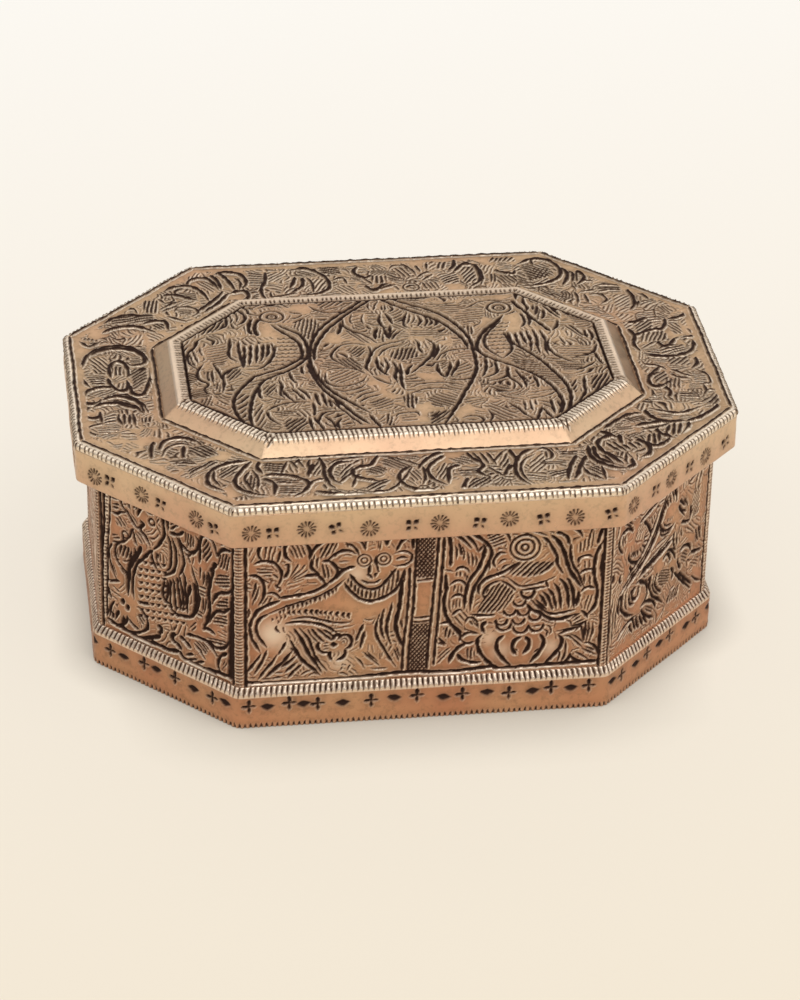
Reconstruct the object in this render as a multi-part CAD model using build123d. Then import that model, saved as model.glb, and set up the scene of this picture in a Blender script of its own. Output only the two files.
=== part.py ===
from build123d import *
import math
import os

# An eight-sided box of sheet brass: a soldered wall on a base sheet, a foot band round
# its bottom, and a hinged lid with an overhanging skirt and a raised panel.
# Lengths are in millimetres. X runs along the box, the front looks along -Y, and Z is up
# from the surface that the foot stands on.

# Wall and base
wall_length = 164.0
wall_width = 121.0
corner_cut = 34.0
wall_height = 64.2
wall_bend_radius = 2.0
sheet = 1.2
base_sheet = 1.2
base_recess = 1.5

# Foot band
foot_height = 12.0
foot_proud = 1.6
foot_lip = 0.5
foot_shoulder = 1.7

# Lid
lid_overhang = 5.0
lid_seat_gap = 0.2
lid_plate_thickness = 2.0
lid_edge_radius = 1.5
skirt_height = 9.6
skirt_sheet = 1.2
skirt_bend_radius = 3.0
panel_border = 23.7
panel_rise = 3.6
panel_bevel = 4.2
panel_sheet = 1.2

# Hinges
hinge_spacing = 54.0
leaf_length = 25.0
leaf_sheet = 0.8
body_leaf_height = 10.0
lid_leaf_height = 5.6
knuckle_count = 5
knuckle_gap = 0.15
barrel_radius = 1.6
axis_above_skirt_edge = 1.0
pin_radius = 0.75
pin_clearance = 0.05
pin_head_radius = 1.3
pin_head_length = 0.6
leaf_clearance = 0.3
notch_side_gap = 0.8

# Rivets
rivet_radius = 0.8
rivet_clearance = 0.04
rivet_head_radius = 1.6
rivet_head_height = 0.7
rivet_tail_radius = 1.3
rivet_tail_height = 0.4
body_rivet_count = 3
lid_rivet_count = 2
rivet_edge = 3.5
body_rivet_drop = 5.0

# How far a cutter reaches past the face that it cuts
cut_margin = 1.0

# Heights and places that follow from the sizes
base_bottom = base_recess
wall_bottom = base_bottom + base_sheet
wall_top = wall_bottom + wall_height
plate_bottom = wall_top + lid_seat_gap
plate_top = plate_bottom + lid_plate_thickness
skirt_bottom = plate_bottom - skirt_height
wall_back = wall_width / 2
skirt_back = wall_back + lid_overhang - skirt_sheet
axis_y = (wall_back + skirt_back) / 2
axis_z = skirt_bottom + axis_above_skirt_edge
leaf_reach = barrel_radius + leaf_clearance
notch_top = axis_z + leaf_reach
bore_radius = pin_radius + pin_clearance
rivet_hole_radius = rivet_radius + rivet_clearance

CHAMFER_SHRINK = 2 - math.sqrt(2)


def outline(offset, radius=0):
    """The wall's eight-sided outer outline as a face, grown outwards, its corners rounded."""
    x = wall_length / 2 + offset
    y = wall_width / 2 + offset
    cut = corner_cut + offset * CHAMFER_SHRINK
    right_side = [(x - cut, -y), (x, cut - y), (x, y - cut), (x - cut, y)]
    left_side = [(-px, py) for px, py in reversed(right_side)]
    face = make_face(Polyline(*right_side, *left_side, close=True))
    return fillet(face.vertices(), radius) if radius > 0 else face


def prism(offset, low, high, radius=0):
    """An upright eight-sided block between two heights."""
    return extrude(Pos(0, 0, low) * outline(offset, radius), amount=high - low)


def band(outer, inner, low, high, radius):
    """An upright ring of even thickness, bent at its corners to the given outer radius."""
    inner_radius = radius - (outer - inner)
    return prism(outer, low, high, radius) - prism(inner, low, high, inner_radius)


def frustum(low_offset, low, high_offset, high, low_radius=0, high_radius=0):
    """A block that narrows from one eight-sided outline to another."""
    low_face = Pos(0, 0, low) * outline(low_offset, low_radius)
    high_face = Pos(0, 0, high) * outline(high_offset, high_radius)
    return loft([low_face, high_face], ruled=True)


def rod(radius, low, high, y, z):
    """A round bar along X between two X places."""
    along_x = Plane(origin=(low, y, z), z_dir=(1, 0, 0))
    return extrude(along_x * Circle(radius), amount=high - low)


def stud(radius, x, z, front, back):
    """A round bar along Y between two Y places."""
    along_y = Plane(origin=(x, front, z), z_dir=(0, 1, 0))
    return extrude(along_y * Circle(radius), amount=back - front)


def block(x_range, y_range, z_range):
    """A rectangular block between its limits on each axis."""
    low = [min(span) for span in (x_range, y_range, z_range)]
    size = [max(span) - min(span) for span in (x_range, y_range, z_range)]
    return Pos(*low) * Box(*size, align=(Align.MIN, Align.MIN, Align.MIN))


def union(pieces):
    """Pieces that touch, joined into one solid."""
    first, *others = pieces
    return first.fuse(*others).clean()


def rivet_places(centre, count):
    """X places of a row of rivets along one leaf."""
    span = leaf_length - 2 * rivet_edge
    return [centre - span / 2 + span * i / (count - 1) for i in range(count)]


def body_rivet_z():
    """Height of the rivets in the leaf on the wall."""
    return axis_z - leaf_reach - body_rivet_drop


def lid_rivet_z():
    """Height of the rivets in the leaf on the skirt."""
    return notch_top + lid_leaf_height / 2


def make_base_plate():
    """The flat floor sheet."""
    return prism(0, base_bottom, wall_bottom, wall_bend_radius)


def make_body_wall(centres):
    """The wall, bent at its eight corners from one strip and drilled for the hinges."""
    wall = band(0, -sheet, wall_bottom, wall_top, wall_bend_radius)
    cut = (wall_back - sheet - cut_margin, wall_back + cut_margin)
    for centre in centres:
        for x in rivet_places(centre, body_rivet_count):
            wall -= stud(rivet_hole_radius, x, body_rivet_z(), *cut)
    return wall


def make_foot_band():
    """The foot: a band round the wall's bottom with a sloping shoulder."""
    shoulder_low = foot_height - foot_shoulder
    outer_radius = wall_bend_radius + foot_proud
    lip_radius = wall_bend_radius + foot_lip
    outer = prism(foot_proud, 0, shoulder_low, outer_radius)
    shoulder = frustum(foot_proud, shoulder_low, foot_lip, foot_height, outer_radius, lip_radius)
    return union([outer, shoulder]) - prism(0, 0, foot_height, wall_bend_radius)


def make_lid_plate():
    """The lid's top sheet with its outer edge rounded over."""
    plate = prism(lid_overhang, plate_bottom, plate_top, skirt_bend_radius)
    return fillet(plate.edges().group_by(Axis.Z)[-1], lid_edge_radius)


def make_lid_skirt(centres):
    """The skirt below the lid's edge, notched for the hinge barrels."""
    inner = lid_overhang - skirt_sheet
    skirt = band(lid_overhang, inner, skirt_bottom, plate_bottom, skirt_bend_radius)
    half = leaf_length / 2 + notch_side_gap
    y_range = (skirt_back - cut_margin, skirt_back + skirt_sheet + cut_margin)
    z_range = (skirt_bottom - cut_margin, notch_top)
    for centre in centres:
        skirt -= block((centre - half, centre + half), y_range, z_range)
        for x in rivet_places(centre, lid_rivet_count):
            skirt -= stud(rivet_hole_radius, x, lid_rivet_z(), *y_range)
    return skirt


def make_raised_panel():
    """The bevelled panel soldered on the lid, hollow below."""
    foot = lid_overhang - panel_border
    crown = foot - panel_bevel
    top = plate_top + panel_rise
    shell = frustum(foot, plate_top, crown, top)
    hollow = frustum(foot - panel_sheet, plate_top, crown - panel_sheet, top - panel_sheet)
    return shell - hollow


def knuckle_spans(centre, first):
    """X spans of every second knuckle of a hinge, from number first."""
    pitch = leaf_length / knuckle_count
    start = centre - leaf_length / 2
    return [
        (start + pitch * i + knuckle_gap / 2, start + pitch * (i + 1) - knuckle_gap / 2)
        for i in range(first, knuckle_count, 2)
    ]


def make_leaf(centre, first, plate_y, plate_z, web_z):
    """A hinge leaf: a flat plate and its knuckles, each joined to the plate by a web."""
    half = leaf_length / 2
    pieces = [block((centre - half, centre + half), plate_y, plate_z)]
    for span in knuckle_spans(centre, first):
        pieces.append(block(span, plate_y, web_z))
        pieces.append(rod(barrel_radius, *span, axis_y, axis_z))
    leaf = union(pieces)
    return leaf - rod(bore_radius, centre - half, centre + half, axis_y, axis_z)


def make_body_leaf(centre):
    """The leaf on the wall's outer face, with the outer knuckles."""
    plate_y = (wall_back, wall_back + leaf_sheet)
    top = axis_z - leaf_reach
    leaf = make_leaf(centre, 0, plate_y, (top - body_leaf_height, top), (top, axis_z))
    cut = (wall_back - cut_margin, wall_back + leaf_sheet + cut_margin)
    for x in rivet_places(centre, body_rivet_count):
        leaf -= stud(rivet_hole_radius, x, body_rivet_z(), *cut)
    return leaf


def make_lid_leaf(centre):
    """The leaf on the skirt's inner face, with the inner knuckles."""
    plate_y = (skirt_back - leaf_sheet, skirt_back)
    leaf = make_leaf(centre, 1, plate_y, (notch_top, notch_top + lid_leaf_height), (axis_z, notch_top))
    cut = (skirt_back - leaf_sheet - cut_margin, skirt_back + cut_margin)
    for x in rivet_places(centre, lid_rivet_count):
        leaf -= stud(rivet_hole_radius, x, lid_rivet_z(), *cut)
    return leaf


def make_pin(centre):
    """The hinge pin with a peened head at each end."""
    half = leaf_length / 2
    left_head = rod(pin_head_radius, centre - half - pin_head_length, centre - half, axis_y, axis_z)
    right_head = rod(pin_head_radius, centre + half, centre + half + pin_head_length, axis_y, axis_z)
    return union([rod(pin_radius, centre - half, centre + half, axis_y, axis_z), left_head, right_head])


def make_rivet(x, z, inner_face, outer_face):
    """A rivet through two sheets: a domed head outside and a flat tail inside."""
    head_rise = rivet_head_height
    sphere_radius = (rivet_head_radius**2 + head_rise**2) / (2 * head_rise)
    dome = Pos(x, outer_face + head_rise - sphere_radius, z) * Sphere(sphere_radius)
    head = dome & stud(sphere_radius, x, z, outer_face, outer_face + head_rise)
    shank = stud(rivet_radius, x, z, inner_face, outer_face)
    tail = stud(rivet_tail_radius, x, z, inner_face - rivet_tail_height, inner_face)
    return union([shank, head, tail])


def make_body_rivets(centre):
    """The rivets that hold one leaf to the wall."""
    faces = (wall_back - sheet, wall_back + leaf_sheet)
    places = rivet_places(centre, body_rivet_count)
    return Compound(children=[make_rivet(x, body_rivet_z(), *faces) for x in places])


def make_lid_rivets(centre):
    """The rivets that hold one leaf to the skirt."""
    faces = (skirt_back - leaf_sheet, skirt_back + skirt_sheet)
    places = rivet_places(centre, lid_rivet_count)
    return Compound(children=[make_rivet(x, lid_rivet_z(), *faces) for x in places])


def main():
    """Builds every piece and writes one STEP file for each."""
    hinges = {"left": -hinge_spacing / 2, "right": hinge_spacing / 2}
    centres = list(hinges.values())
    parts = {
        "base_plate": make_base_plate(),
        "body_wall": make_body_wall(centres),
        "foot_band": make_foot_band(),
        "lid_plate": make_lid_plate(),
        "lid_skirt": make_lid_skirt(centres),
        "lid_raised_panel": make_raised_panel(),
    }
    for side, centre in hinges.items():
        parts[f"{side}_hinge_body_leaf"] = make_body_leaf(centre)
        parts[f"{side}_hinge_lid_leaf"] = make_lid_leaf(centre)
        parts[f"{side}_hinge_pin"] = make_pin(centre)
        parts[f"{side}_hinge_body_rivets"] = make_body_rivets(centre)
        parts[f"{side}_hinge_lid_rivets"] = make_lid_rivets(centre)
    os.makedirs("parts", exist_ok=True)
    for name, shape in parts.items():
        export_step(shape, f"parts/{name}.step")


main()
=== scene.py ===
"""An eight-sided brass box: engraved walls, punched foot and skirt, chased lid with a raised panel."""
import copy
import math

import bpy
import numpy as np
from mathutils import Matrix, Vector


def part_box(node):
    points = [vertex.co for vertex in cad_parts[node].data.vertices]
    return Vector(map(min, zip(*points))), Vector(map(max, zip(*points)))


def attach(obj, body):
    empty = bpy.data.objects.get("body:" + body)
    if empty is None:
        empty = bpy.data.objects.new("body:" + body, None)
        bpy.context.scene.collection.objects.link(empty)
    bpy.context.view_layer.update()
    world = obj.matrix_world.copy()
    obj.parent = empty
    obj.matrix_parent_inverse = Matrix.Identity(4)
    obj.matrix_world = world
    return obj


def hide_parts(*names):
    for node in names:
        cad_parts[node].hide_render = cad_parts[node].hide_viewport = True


bl_info = {
    "name": "Engraved brass box",
    "version": (1, 0, 0),
    "blender": (4, 5, 0),
    "location": "View3D > Sidebar > Brass Box",
    "description": "Builds the engraved skin of an eight-sided brass box on its packed model",
    "category": "Object",
}

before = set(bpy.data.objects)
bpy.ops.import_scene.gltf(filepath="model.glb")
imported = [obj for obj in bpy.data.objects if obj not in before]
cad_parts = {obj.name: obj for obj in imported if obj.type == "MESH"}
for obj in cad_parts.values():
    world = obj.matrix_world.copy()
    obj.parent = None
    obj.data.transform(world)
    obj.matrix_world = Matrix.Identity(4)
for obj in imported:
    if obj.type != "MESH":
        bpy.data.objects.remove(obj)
MM = 0.001
SAME_PLACE = 0.01


def node_corners(node):
    """The lowest and highest corner of a CAD node, in millimetres."""
    low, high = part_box(node)
    return np.array(low) / MM, np.array(high) / MM


def node_points(node):
    """The vertices of a CAD node, in millimetres."""
    return np.array([vertex.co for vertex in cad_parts[node].data.vertices]) / MM


def reach_on_face(node, axis, across):
    """How far the flat at a node's highest place on one axis runs along another axis, in millimetres."""
    points = node_points(node)
    face = points[points[:, axis] > points[:, axis].max() - SAME_PLACE]
    return float(face[:, across].max())


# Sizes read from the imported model, in millimetres.
wall_low, wall_high = node_corners("body_wall")
foot_low, foot_high = node_corners("foot_band")
skirt_low, skirt_high = node_corners("lid_skirt")
plate_low, plate_high = node_corners("lid_plate")
panel_low, panel_high = node_corners("lid_raised_panel")

WALL_HALF_LENGTH = float(wall_high[0])
WALL_HALF_WIDTH = float(wall_high[1])
WALL_BEND = 2.0
LID_BEND = 3.0
SHEET = 1.2
BEND_TANGENT = math.tan(math.pi / 8)
CORNER_CUT = WALL_HALF_LENGTH - reach_on_face("body_wall", 1, 0) - WALL_BEND * BEND_TANGENT
CUT_GROWTH = 2 - math.sqrt(2)
LID_OFFSET = float(skirt_high[0]) - WALL_HALF_LENGTH
FOOT_OFFSET = float(foot_high[0]) - WALL_HALF_LENGTH
FOOT_LIP = 0.5
FOOT_SHOULDER = 1.7
PANEL_FOOT = float(panel_high[0]) - WALL_HALF_LENGTH
PANEL_BEVEL = 4.2
PANEL_SHEET = 1.2
LID_EDGE = 1.5

SIDE_NAMES = ("front", "front_right", "right", "back_right", "back", "back_left", "left", "front_left")


# The outline of the box, seen from above.

def outline_corners(offset):
    """The eight corners of the outline grown by offset, anticlockwise from the front's left end."""
    x = WALL_HALF_LENGTH + offset
    y = WALL_HALF_WIDTH + offset
    cut = CORNER_CUT + offset * CUT_GROWTH
    return np.array([
        (-x + cut, -y), (x - cut, -y), (x, -y + cut), (x, y - cut),
        (x - cut, y), (-x + cut, y), (-x, y - cut), (-x, -y + cut),
    ])


def side_frame(side, offset):
    """Middle point, direction, outward normal and half length of one side of the outline."""
    corners = outline_corners(offset)
    start, end = corners[side], corners[(side + 1) % 8]
    length = float(np.hypot(*(end - start)))
    along = (end - start) / length
    outward = np.array([along[1], -along[0]])
    return (start + end) / 2, along, outward, length / 2


def bend_reach(side, offset, bend):
    """Half the length of a side measured along the sheet, to the middle of its two bends."""
    half = side_frame(side, offset)[3]
    return half + bend * (math.pi / 8 - BEND_TANGENT)


def on_side(side, u, offset, bend):
    """Places and outward directions on a side: straight, then an arc of the bend's radius at each end."""
    middle, along, outward, half = side_frame(side, offset)
    straight = half - bend * BEND_TANGENT
    past = np.clip(np.abs(u) - straight, 0, None)
    turn = past / max(bend, 1e-6)
    sign = np.sign(u)
    run = np.where(past > 0, straight + bend * np.sin(turn), np.abs(u)) * sign
    drop = np.where(past > 0, bend * (np.cos(turn) - 1), 0.0)
    place = middle + run[..., None] * along + drop[..., None] * outward
    lean = np.where(past > 0, turn, 0.0) * sign
    facing = np.cos(lean)[..., None] * outward + np.sin(lean)[..., None] * along
    return place, facing


# Plates: fine height maps on which the engraving is drawn before it is laid on a surface.

def smooth_step(x):
    """0 below 0, 1 above 1, and 3x^2 - 2x^3 between."""
    x = np.clip(x, 0, 1)
    return x * x * (3 - 2 * x)


def blur(field, reach):
    """A box mean over reach cells each way, run twice along both axes."""
    reach = max(int(reach), 1)
    width = 2 * reach + 1
    for axis in (0, 1, 0, 1):
        padding = [(0, 0), (0, 0)]
        padding[axis] = (reach + 1, reach)
        total = np.cumsum(np.pad(field, padding, mode="edge"), axis=axis, dtype=np.float64)
        ahead = np.take(total, range(width, total.shape[axis]), axis=axis)
        behind = np.take(total, range(0, total.shape[axis] - width), axis=axis)
        field = ((ahead - behind) / width).astype(np.float32)
    return field


def smooth_noise(shape, cells, seed):
    """Random numbers from -1 to 1 on a coarse grid, joined by smooth steps."""
    rng = np.random.default_rng(seed)
    rows = max(int(shape[0] / cells) + 2, 2)
    columns = max(int(shape[1] / cells) + 2, 2)
    coarse = rng.uniform(-1, 1, (rows, columns))
    y = np.linspace(0, rows - 1.001, shape[0])
    x = np.linspace(0, columns - 1.001, shape[1])
    row, column = y.astype(int), x.astype(int)
    fy = smooth_step(y - row)[:, None]
    fx = smooth_step(x - column)[None, :]
    upper = coarse[row][:, column] * (1 - fx) + coarse[row][:, column + 1] * fx
    lower = coarse[row + 1][:, column] * (1 - fx) + coarse[row + 1][:, column + 1] * fx
    return (upper * (1 - fy) + lower * fy).astype(np.float32)


def curve_through(points, step):
    """A smooth curve through the points by the Catmull-Rom formula, cut into runs of about step."""
    p = np.asarray(points, float)
    if len(p) == 2:
        count = max(int(np.hypot(*(p[1] - p[0])) / step), 1)
        return p[0] + (p[1] - p[0]) * np.linspace(0, 1, count + 1)[:, None]
    p = np.vstack([2 * p[0] - p[1], p, 2 * p[-1] - p[-2]])
    runs = []
    for a, b, c, d in zip(p[:-3], p[1:-2], p[2:-1], p[3:]):
        count = max(int(np.hypot(*(c - b)) / step), 1)
        t = np.arange(count)[:, None] / count
        runs.append(0.5 * (2 * b + (c - a) * t + (2 * a - 5 * b + 4 * c - d) * t**2
                           + (3 * b - a - 3 * c + d) * t**3))
    runs.append(p[-2][None])
    return np.vstack(runs)


def inside_outline(outline, x, y):
    """Which places lie inside a closed outline: those with an odd count of its edges on their right."""
    inside = np.zeros((y.shape[0], x.shape[1]), bool)
    for a, b in zip(outline, np.roll(outline, -1, axis=0)):
        if a[1] != b[1]:
            crosses = (a[1] > y) != (b[1] > y)
            inside ^= crosses & (x < (b[0] - a[0]) * (y - a[1]) / (b[1] - a[1]) + a[0])
    return inside


def gap_to_run(a, b, x, y):
    """Each place's gap to a straight run from a to b, and the share of the run where it is nearest."""
    run = b - a
    square = max(float(run @ run), 1e-9)
    t = np.clip(((x - a[0]) * run[0] + (y - a[1]) * run[1]) / square, 0, 1)
    dx, dy = x - a[0] - t * run[0], y - a[1] - t * run[1]
    return np.sqrt(dx * dx + dy * dy), t


def along_curve(line):
    """The distance run along a line of places, at each of them."""
    return np.concatenate([[0], np.cumsum(np.hypot(*np.diff(line, axis=0).T))])


# The graver's and the hatching's strength, and the shape of a cut and its lips.
GRAVER = 1.2
HATCHER = 1.4
CUT_SLOPE = 0.95
LEAST_CUT = 0.02
LIP_HEIGHT = 0.14
LIP_AWAY = 0.1
LIP_REACH = 0.2
LIP_SUNK = 0.12
FULL_LIP_HALF = 0.4
CURVE_STEP = 0.55
CUT_MARGIN = 0.35
HAND_WAVER = 0.12
TICK_STEP = 0.3
TICK_LOOK = 0.4
TICK_WOBBLE = 8
ROSETTE_HUB = 0.45
LEAST_RAY = 0.03

# The metal's slow swells, what it keeps under the deepest cut, and the leaf-like patches of its ground.
THIN_METAL = 0.25
SINK_REACH = 1.4
ROLL_REACH = 0.4
HAMMER_GRAIN = 9.0
SMALL_HAMMER_GRAIN = 3.2
WAVER_GRAIN = 1.1
PATCH_BEND = 1.3
PATCH_GRAIN = 3.5
PATCH_GAP = 0.3
PATCH_FADE = 0.4
TAKEN_DEPTH = 0.04
TAKEN_REACH = 0.4
TAKEN_SHARE = 0.3

# The rubbed ridges, worn bright and painted with a highlight on the banks that face the light, and the
# black in the cuts.
CREST_HEIGHT = 0.065
CREST_START = 0.3
CREST_REACH = 0.36
LIT_SHARE = 0.5
LIT_SLOPE = 2.2
BANK_REACH = 0.2
BLACK_START = 0.05
BLACK_REACH = 0.16
GRIME_DEPTH = 0.14
GRIME_SHARE = 0.4


class Plate:
    """A flat sheet with a fine grid of depths, on which strokes are cut. Lengths are in millimetres."""

    def __init__(self, low, high, pitch=0.12):
        self.low = np.array(low, float)
        self.pitch = pitch
        columns, rows = ((np.array(high) - self.low) / pitch).astype(int) + 2
        self.depth = np.zeros((rows, columns), np.float32)
        self.burr = np.zeros((rows, columns), np.float32)
        self.kept = np.zeros((rows, columns), bool)
        self.wear_and_highlight = np.zeros((rows, columns), np.float32)

    def window(self, low, high):
        """Row and column slices round a box, and the places of the cells in it."""
        first = np.clip(((np.array(low) - self.low) / self.pitch).astype(int), 0, None)
        last = ((np.array(high) - self.low) / self.pitch).astype(int) + 2
        rows = slice(first[1], min(last[1], self.depth.shape[0]))
        columns = slice(first[0], min(last[0], self.depth.shape[1]))
        y = self.low[1] + self.pitch * np.arange(rows.start, max(rows.stop, rows.start))
        x = self.low[0] + self.pitch * np.arange(columns.start, max(columns.stop, columns.start))
        return rows, columns, x[None, :], y[:, None]

    def everywhere(self):
        """The places of all the cells."""
        return self.window(self.low, self.low + self.pitch * np.array(self.depth.shape[::-1]))[2:]

    def carve(self, rows, columns, depth, burr):
        """Keeps the deeper cut and the higher burr of what is there and what is new."""
        np.maximum(self.depth[rows, columns], depth, out=self.depth[rows, columns])
        np.maximum(self.burr[rows, columns], burr, out=self.burr[rows, columns])

    def groove(self, gap, half):
        """A V groove: its depth falls with the gap to its middle line, with a low burr on each lip."""
        depth = CUT_SLOPE * np.clip(half - gap, 0, None) * (half > LEAST_CUT)
        lip = np.clip(1 - np.abs(gap - half - LIP_AWAY) / (LIP_REACH + LIP_REACH * half), 0, None)
        return depth, LIP_HEIGHT * np.minimum(half / FULL_LIP_HALF, 1) * lip * (half > LEAST_CUT)

    def cut(self, points, width=0.7, taper=(0.3, 0.3), tip=0.25):
        """One stroke of the graver along a smooth curve, thinning over a share of its length at each end.

        The groove's depth at a cell is its half width there, less the gap to the curve, times the slope.
        """
        line = curve_through(points, CURVE_STEP)
        reach = along_curve(line)
        share = reach / max(reach[-1], 1e-6)
        start, end = max(taper[0], 1e-3), max(taper[1], 1e-3)
        swell = np.minimum(share / start, 1) * np.minimum((1 - share) / end, 1)
        swell = tip + (1 - tip) * np.sqrt(np.clip(swell, 0, 1))
        wobble = 1 + HAND_WAVER * np.sin(reach * 1.7 + reach[-1] * 3.1)
        halves = GRAVER * width / 2 * swell * wobble
        pad = GRAVER * width / 2 + CUT_MARGIN
        for a, b, half_a, half_b in zip(line[:-1], line[1:], halves[:-1], halves[1:]):
            rows, columns, x, y = self.window(np.minimum(a, b) - pad, np.maximum(a, b) + pad)
            if x.size and y.size:
                gap, t = gap_to_run(a, b, x, y)
                self.carve(rows, columns, *self.groove(gap, half_a + (half_b - half_a) * t))

    def ray_numbers(self, x, y, centre, fan, pitch):
        """A number that is whole on each ray from the fan's centre, and the gap between two rays."""
        dx, dy = x - fan[0], y - fan[1]
        middle = math.atan2(centre[1] - fan[1], centre[0] - fan[0])
        turn = (np.arctan2(dy, dx) - middle + math.pi) % (2 * math.pi) - math.pi
        typical = max(float(np.hypot(*(centre - fan))), 0.5)
        return turn * typical / pitch, pitch * np.hypot(dx, dy) / typical

    def line_numbers(self, x, y, centre, angle, pitch, bow):
        """A number that is whole on each parallel line, or on each bowed one, and the gap between two."""
        tilt = math.radians(angle)
        across = -(x - centre[0]) * math.sin(tilt) + (y - centre[1]) * math.cos(tilt)
        along = (x - centre[0]) * math.cos(tilt) + (y - centre[1]) * math.sin(tilt)
        return (across + bow * along * along) / pitch, pitch

    def fill(self, outline, pitch=1.0, angle=0.0, fan=None, width=0.5, margin=0.35, bow=0.0):
        """Hatches the inside of a closed outline with parallel lines or with rays.

        The lines lie where a running number is whole: the place across the lines over the pitch, or the
        angle about the fan's centre. A little slow waver is added to it.
        """
        p = np.asarray(outline, float)
        rows, columns, x, y = self.window(p.min(0), p.max(0))
        if not (x.size and y.size):
            return
        inside = inside_outline(p, x, y)
        edge = np.min([gap_to_run(a, b, x, y)[0] for a, b in zip(p, np.roll(p, -1, axis=0))], 0)
        centre = p.mean(0)
        if fan is not None:
            number, step = self.ray_numbers(x, y, centre, fan, pitch)
        else:
            number, step = self.line_numbers(x, y, centre, angle, pitch, bow)
        number = number + HAND_WAVER * np.sin(x * 0.9 + centre[1]) * np.sin(y * 0.8 + centre[0]) + 0.5
        line = np.round(number)
        gap = np.abs(number - line) * step
        vary = np.sin(line * 12.9898 + centre[0]) * 0.5 + 0.5
        fade = np.clip((edge - margin - 0.35 * vary) / 0.55, 0, 1)
        half = HATCHER * width / 2 * np.sqrt(fade) * (0.8 + 0.35 * vary) * inside
        self.carve(rows, columns, *self.groove(gap, np.minimum(half, np.abs(step) * 0.46)))

    def rings(self, centre, radii, width=0.6):
        """Round cuts about one centre."""
        reach = max(radii) + width
        rows, columns, x, y = self.window(np.array(centre) - reach, np.array(centre) + reach)
        away = np.hypot(x - centre[0], y - centre[1])
        for radius in radii:
            self.carve(rows, columns, *self.groove(np.abs(away - radius), width / 2))

    def ticks(self, points, pitch, reach, tilt=90.0, width=0.5, bend=0.0, taper=(0.2, 0.5), shift=0.0):
        """Short strokes at even steps along a curve, tilted to it, with an optional bend."""
        line = curve_through(points, TICK_STEP)
        place = along_curve(line)
        count = max(int(place[-1] / pitch), 1)
        for i in range(count + 1):
            vary = 0.5 * math.sin(i * 7.3 + place[-1])
            at = min(max(pitch * (i + 0.25 * vary), 0), place[-1])
            x, y = np.interp(at, place, line[:, 0]), np.interp(at, place, line[:, 1])
            ahead = min(at + TICK_LOOK, place[-1])
            behind = ahead - 2 * TICK_LOOK
            dx = np.interp(ahead, place, line[:, 0]) - np.interp(behind, place, line[:, 0])
            dy = np.interp(ahead, place, line[:, 1]) - np.interp(behind, place, line[:, 1])
            turn = math.atan2(dy, dx) + math.radians(tilt + TICK_WOBBLE * vary)
            out = np.array([math.cos(turn), math.sin(turn)])
            side = np.array([-out[1], out[0]]) * bend * reach
            start = np.array([x, y]) + out * shift
            length = reach * (1 + HAND_WAVER * vary)
            self.cut([start, start + out * length / 2 + side, start + out * length], width, taper)

    def rosette(self, centre, radius=2.6, petals=13, turn=0.0):
        """A sunburst punch mark: wedges that widen outwards, each a V groove about its own ray."""
        rows, columns, x, y = self.window(np.array(centre) - radius - 0.3, np.array(centre) + radius + 0.3)
        away = np.hypot(x - centre[0], y - centre[1])
        angle = (np.arctan2(y - centre[1], x - centre[0]) + turn) * petals / (2 * math.pi)
        gap = np.abs(angle - np.round(angle)) * 2 * math.pi / petals * away
        spread = smooth_step((away - ROSETTE_HUB) / 0.4) * smooth_step((radius - away) / 0.35)
        half = (0.12 + 0.34 * away / radius) * spread
        depth, burr = self.groove(gap, half)
        self.carve(rows, columns, depth * (half > LEAST_RAY), burr)

    def wedge(self, start, end, width):
        """A drop-shaped punch mark, wide and deep at its start and thin at its end."""
        start, end = np.array(start, float), np.array(end, float)
        self.cut([start, start + (end - start) * 0.5, end], width, taper=(0.12, 0.85), tip=0.12)

    def diamond(self, centre, half_length, half_height, depth=0.55, tilt=0.0):
        """A pointed pit with four flat walls, deepest above its middle."""
        rows, columns, x, y = self.window(np.array(centre) - half_length, np.array(centre) + half_length)
        along = (x - centre[0]) * math.cos(tilt) + (y - centre[1]) * math.sin(tilt)
        across = -(x - centre[0]) * math.sin(tilt) + (y - centre[1]) * math.cos(tilt)
        tall = np.where(across > 0, half_height * 0.8, half_height * 1.1)
        share = 1 - (np.abs(along) / half_length) ** 1.4 - np.abs(across) / tall
        self.carve(rows, columns, depth * np.clip(share, 0, None), 0)

    def blank(self):
        """An uncut plate of the same size."""
        fresh = copy.copy(self)
        fresh.depth, fresh.burr, fresh.kept = (np.zeros_like(f) for f in (self.depth, self.burr, self.kept))
        return fresh

    def keep(self, outline):
        """Marks the inside of an outline as metal that the ground's hatching leaves plain."""
        p = np.asarray(outline, float)
        rows, columns, x, y = self.window(p.min(0), p.max(0))
        self.kept[rows, columns] |= inside_outline(p, x, y)

    def trim(self, outline, inside=True):
        """Smooths away the cuts outside an outline, or inside it, and keeps that metal plain."""
        lose = inside_outline(np.asarray(outline, float), *self.everywhere()) != inside
        self.depth[lose] = 0
        self.burr[lose] = 0
        self.kept |= lose

    def paint_wear_and_highlight(self, outer, inner=None, share=0.8):
        """Marks the metal inside an outline, or between two, as worn bright between its cuts, with a
        painted highlight.
        """
        bright = inside_outline(np.asarray(outer, float), *self.everywhere())
        if inner is not None:
            bright &= ~inside_outline(np.asarray(inner, float), *self.everywhere())
        self.wear_and_highlight[bright] = share

    def polish_and_highlight(self, centre, reach, share):
        """A polished spot with a painted highlight, brightest at its centre."""
        rows, columns, x, y = self.window(np.array(centre) - reach, np.array(centre) + reach)
        spot = share * smooth_step(1 - np.hypot(x - centre[0], y - centre[1]) / reach)
        self.wear_and_highlight[rows, columns] = np.maximum(self.wear_and_highlight[rows, columns], spot)

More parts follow.
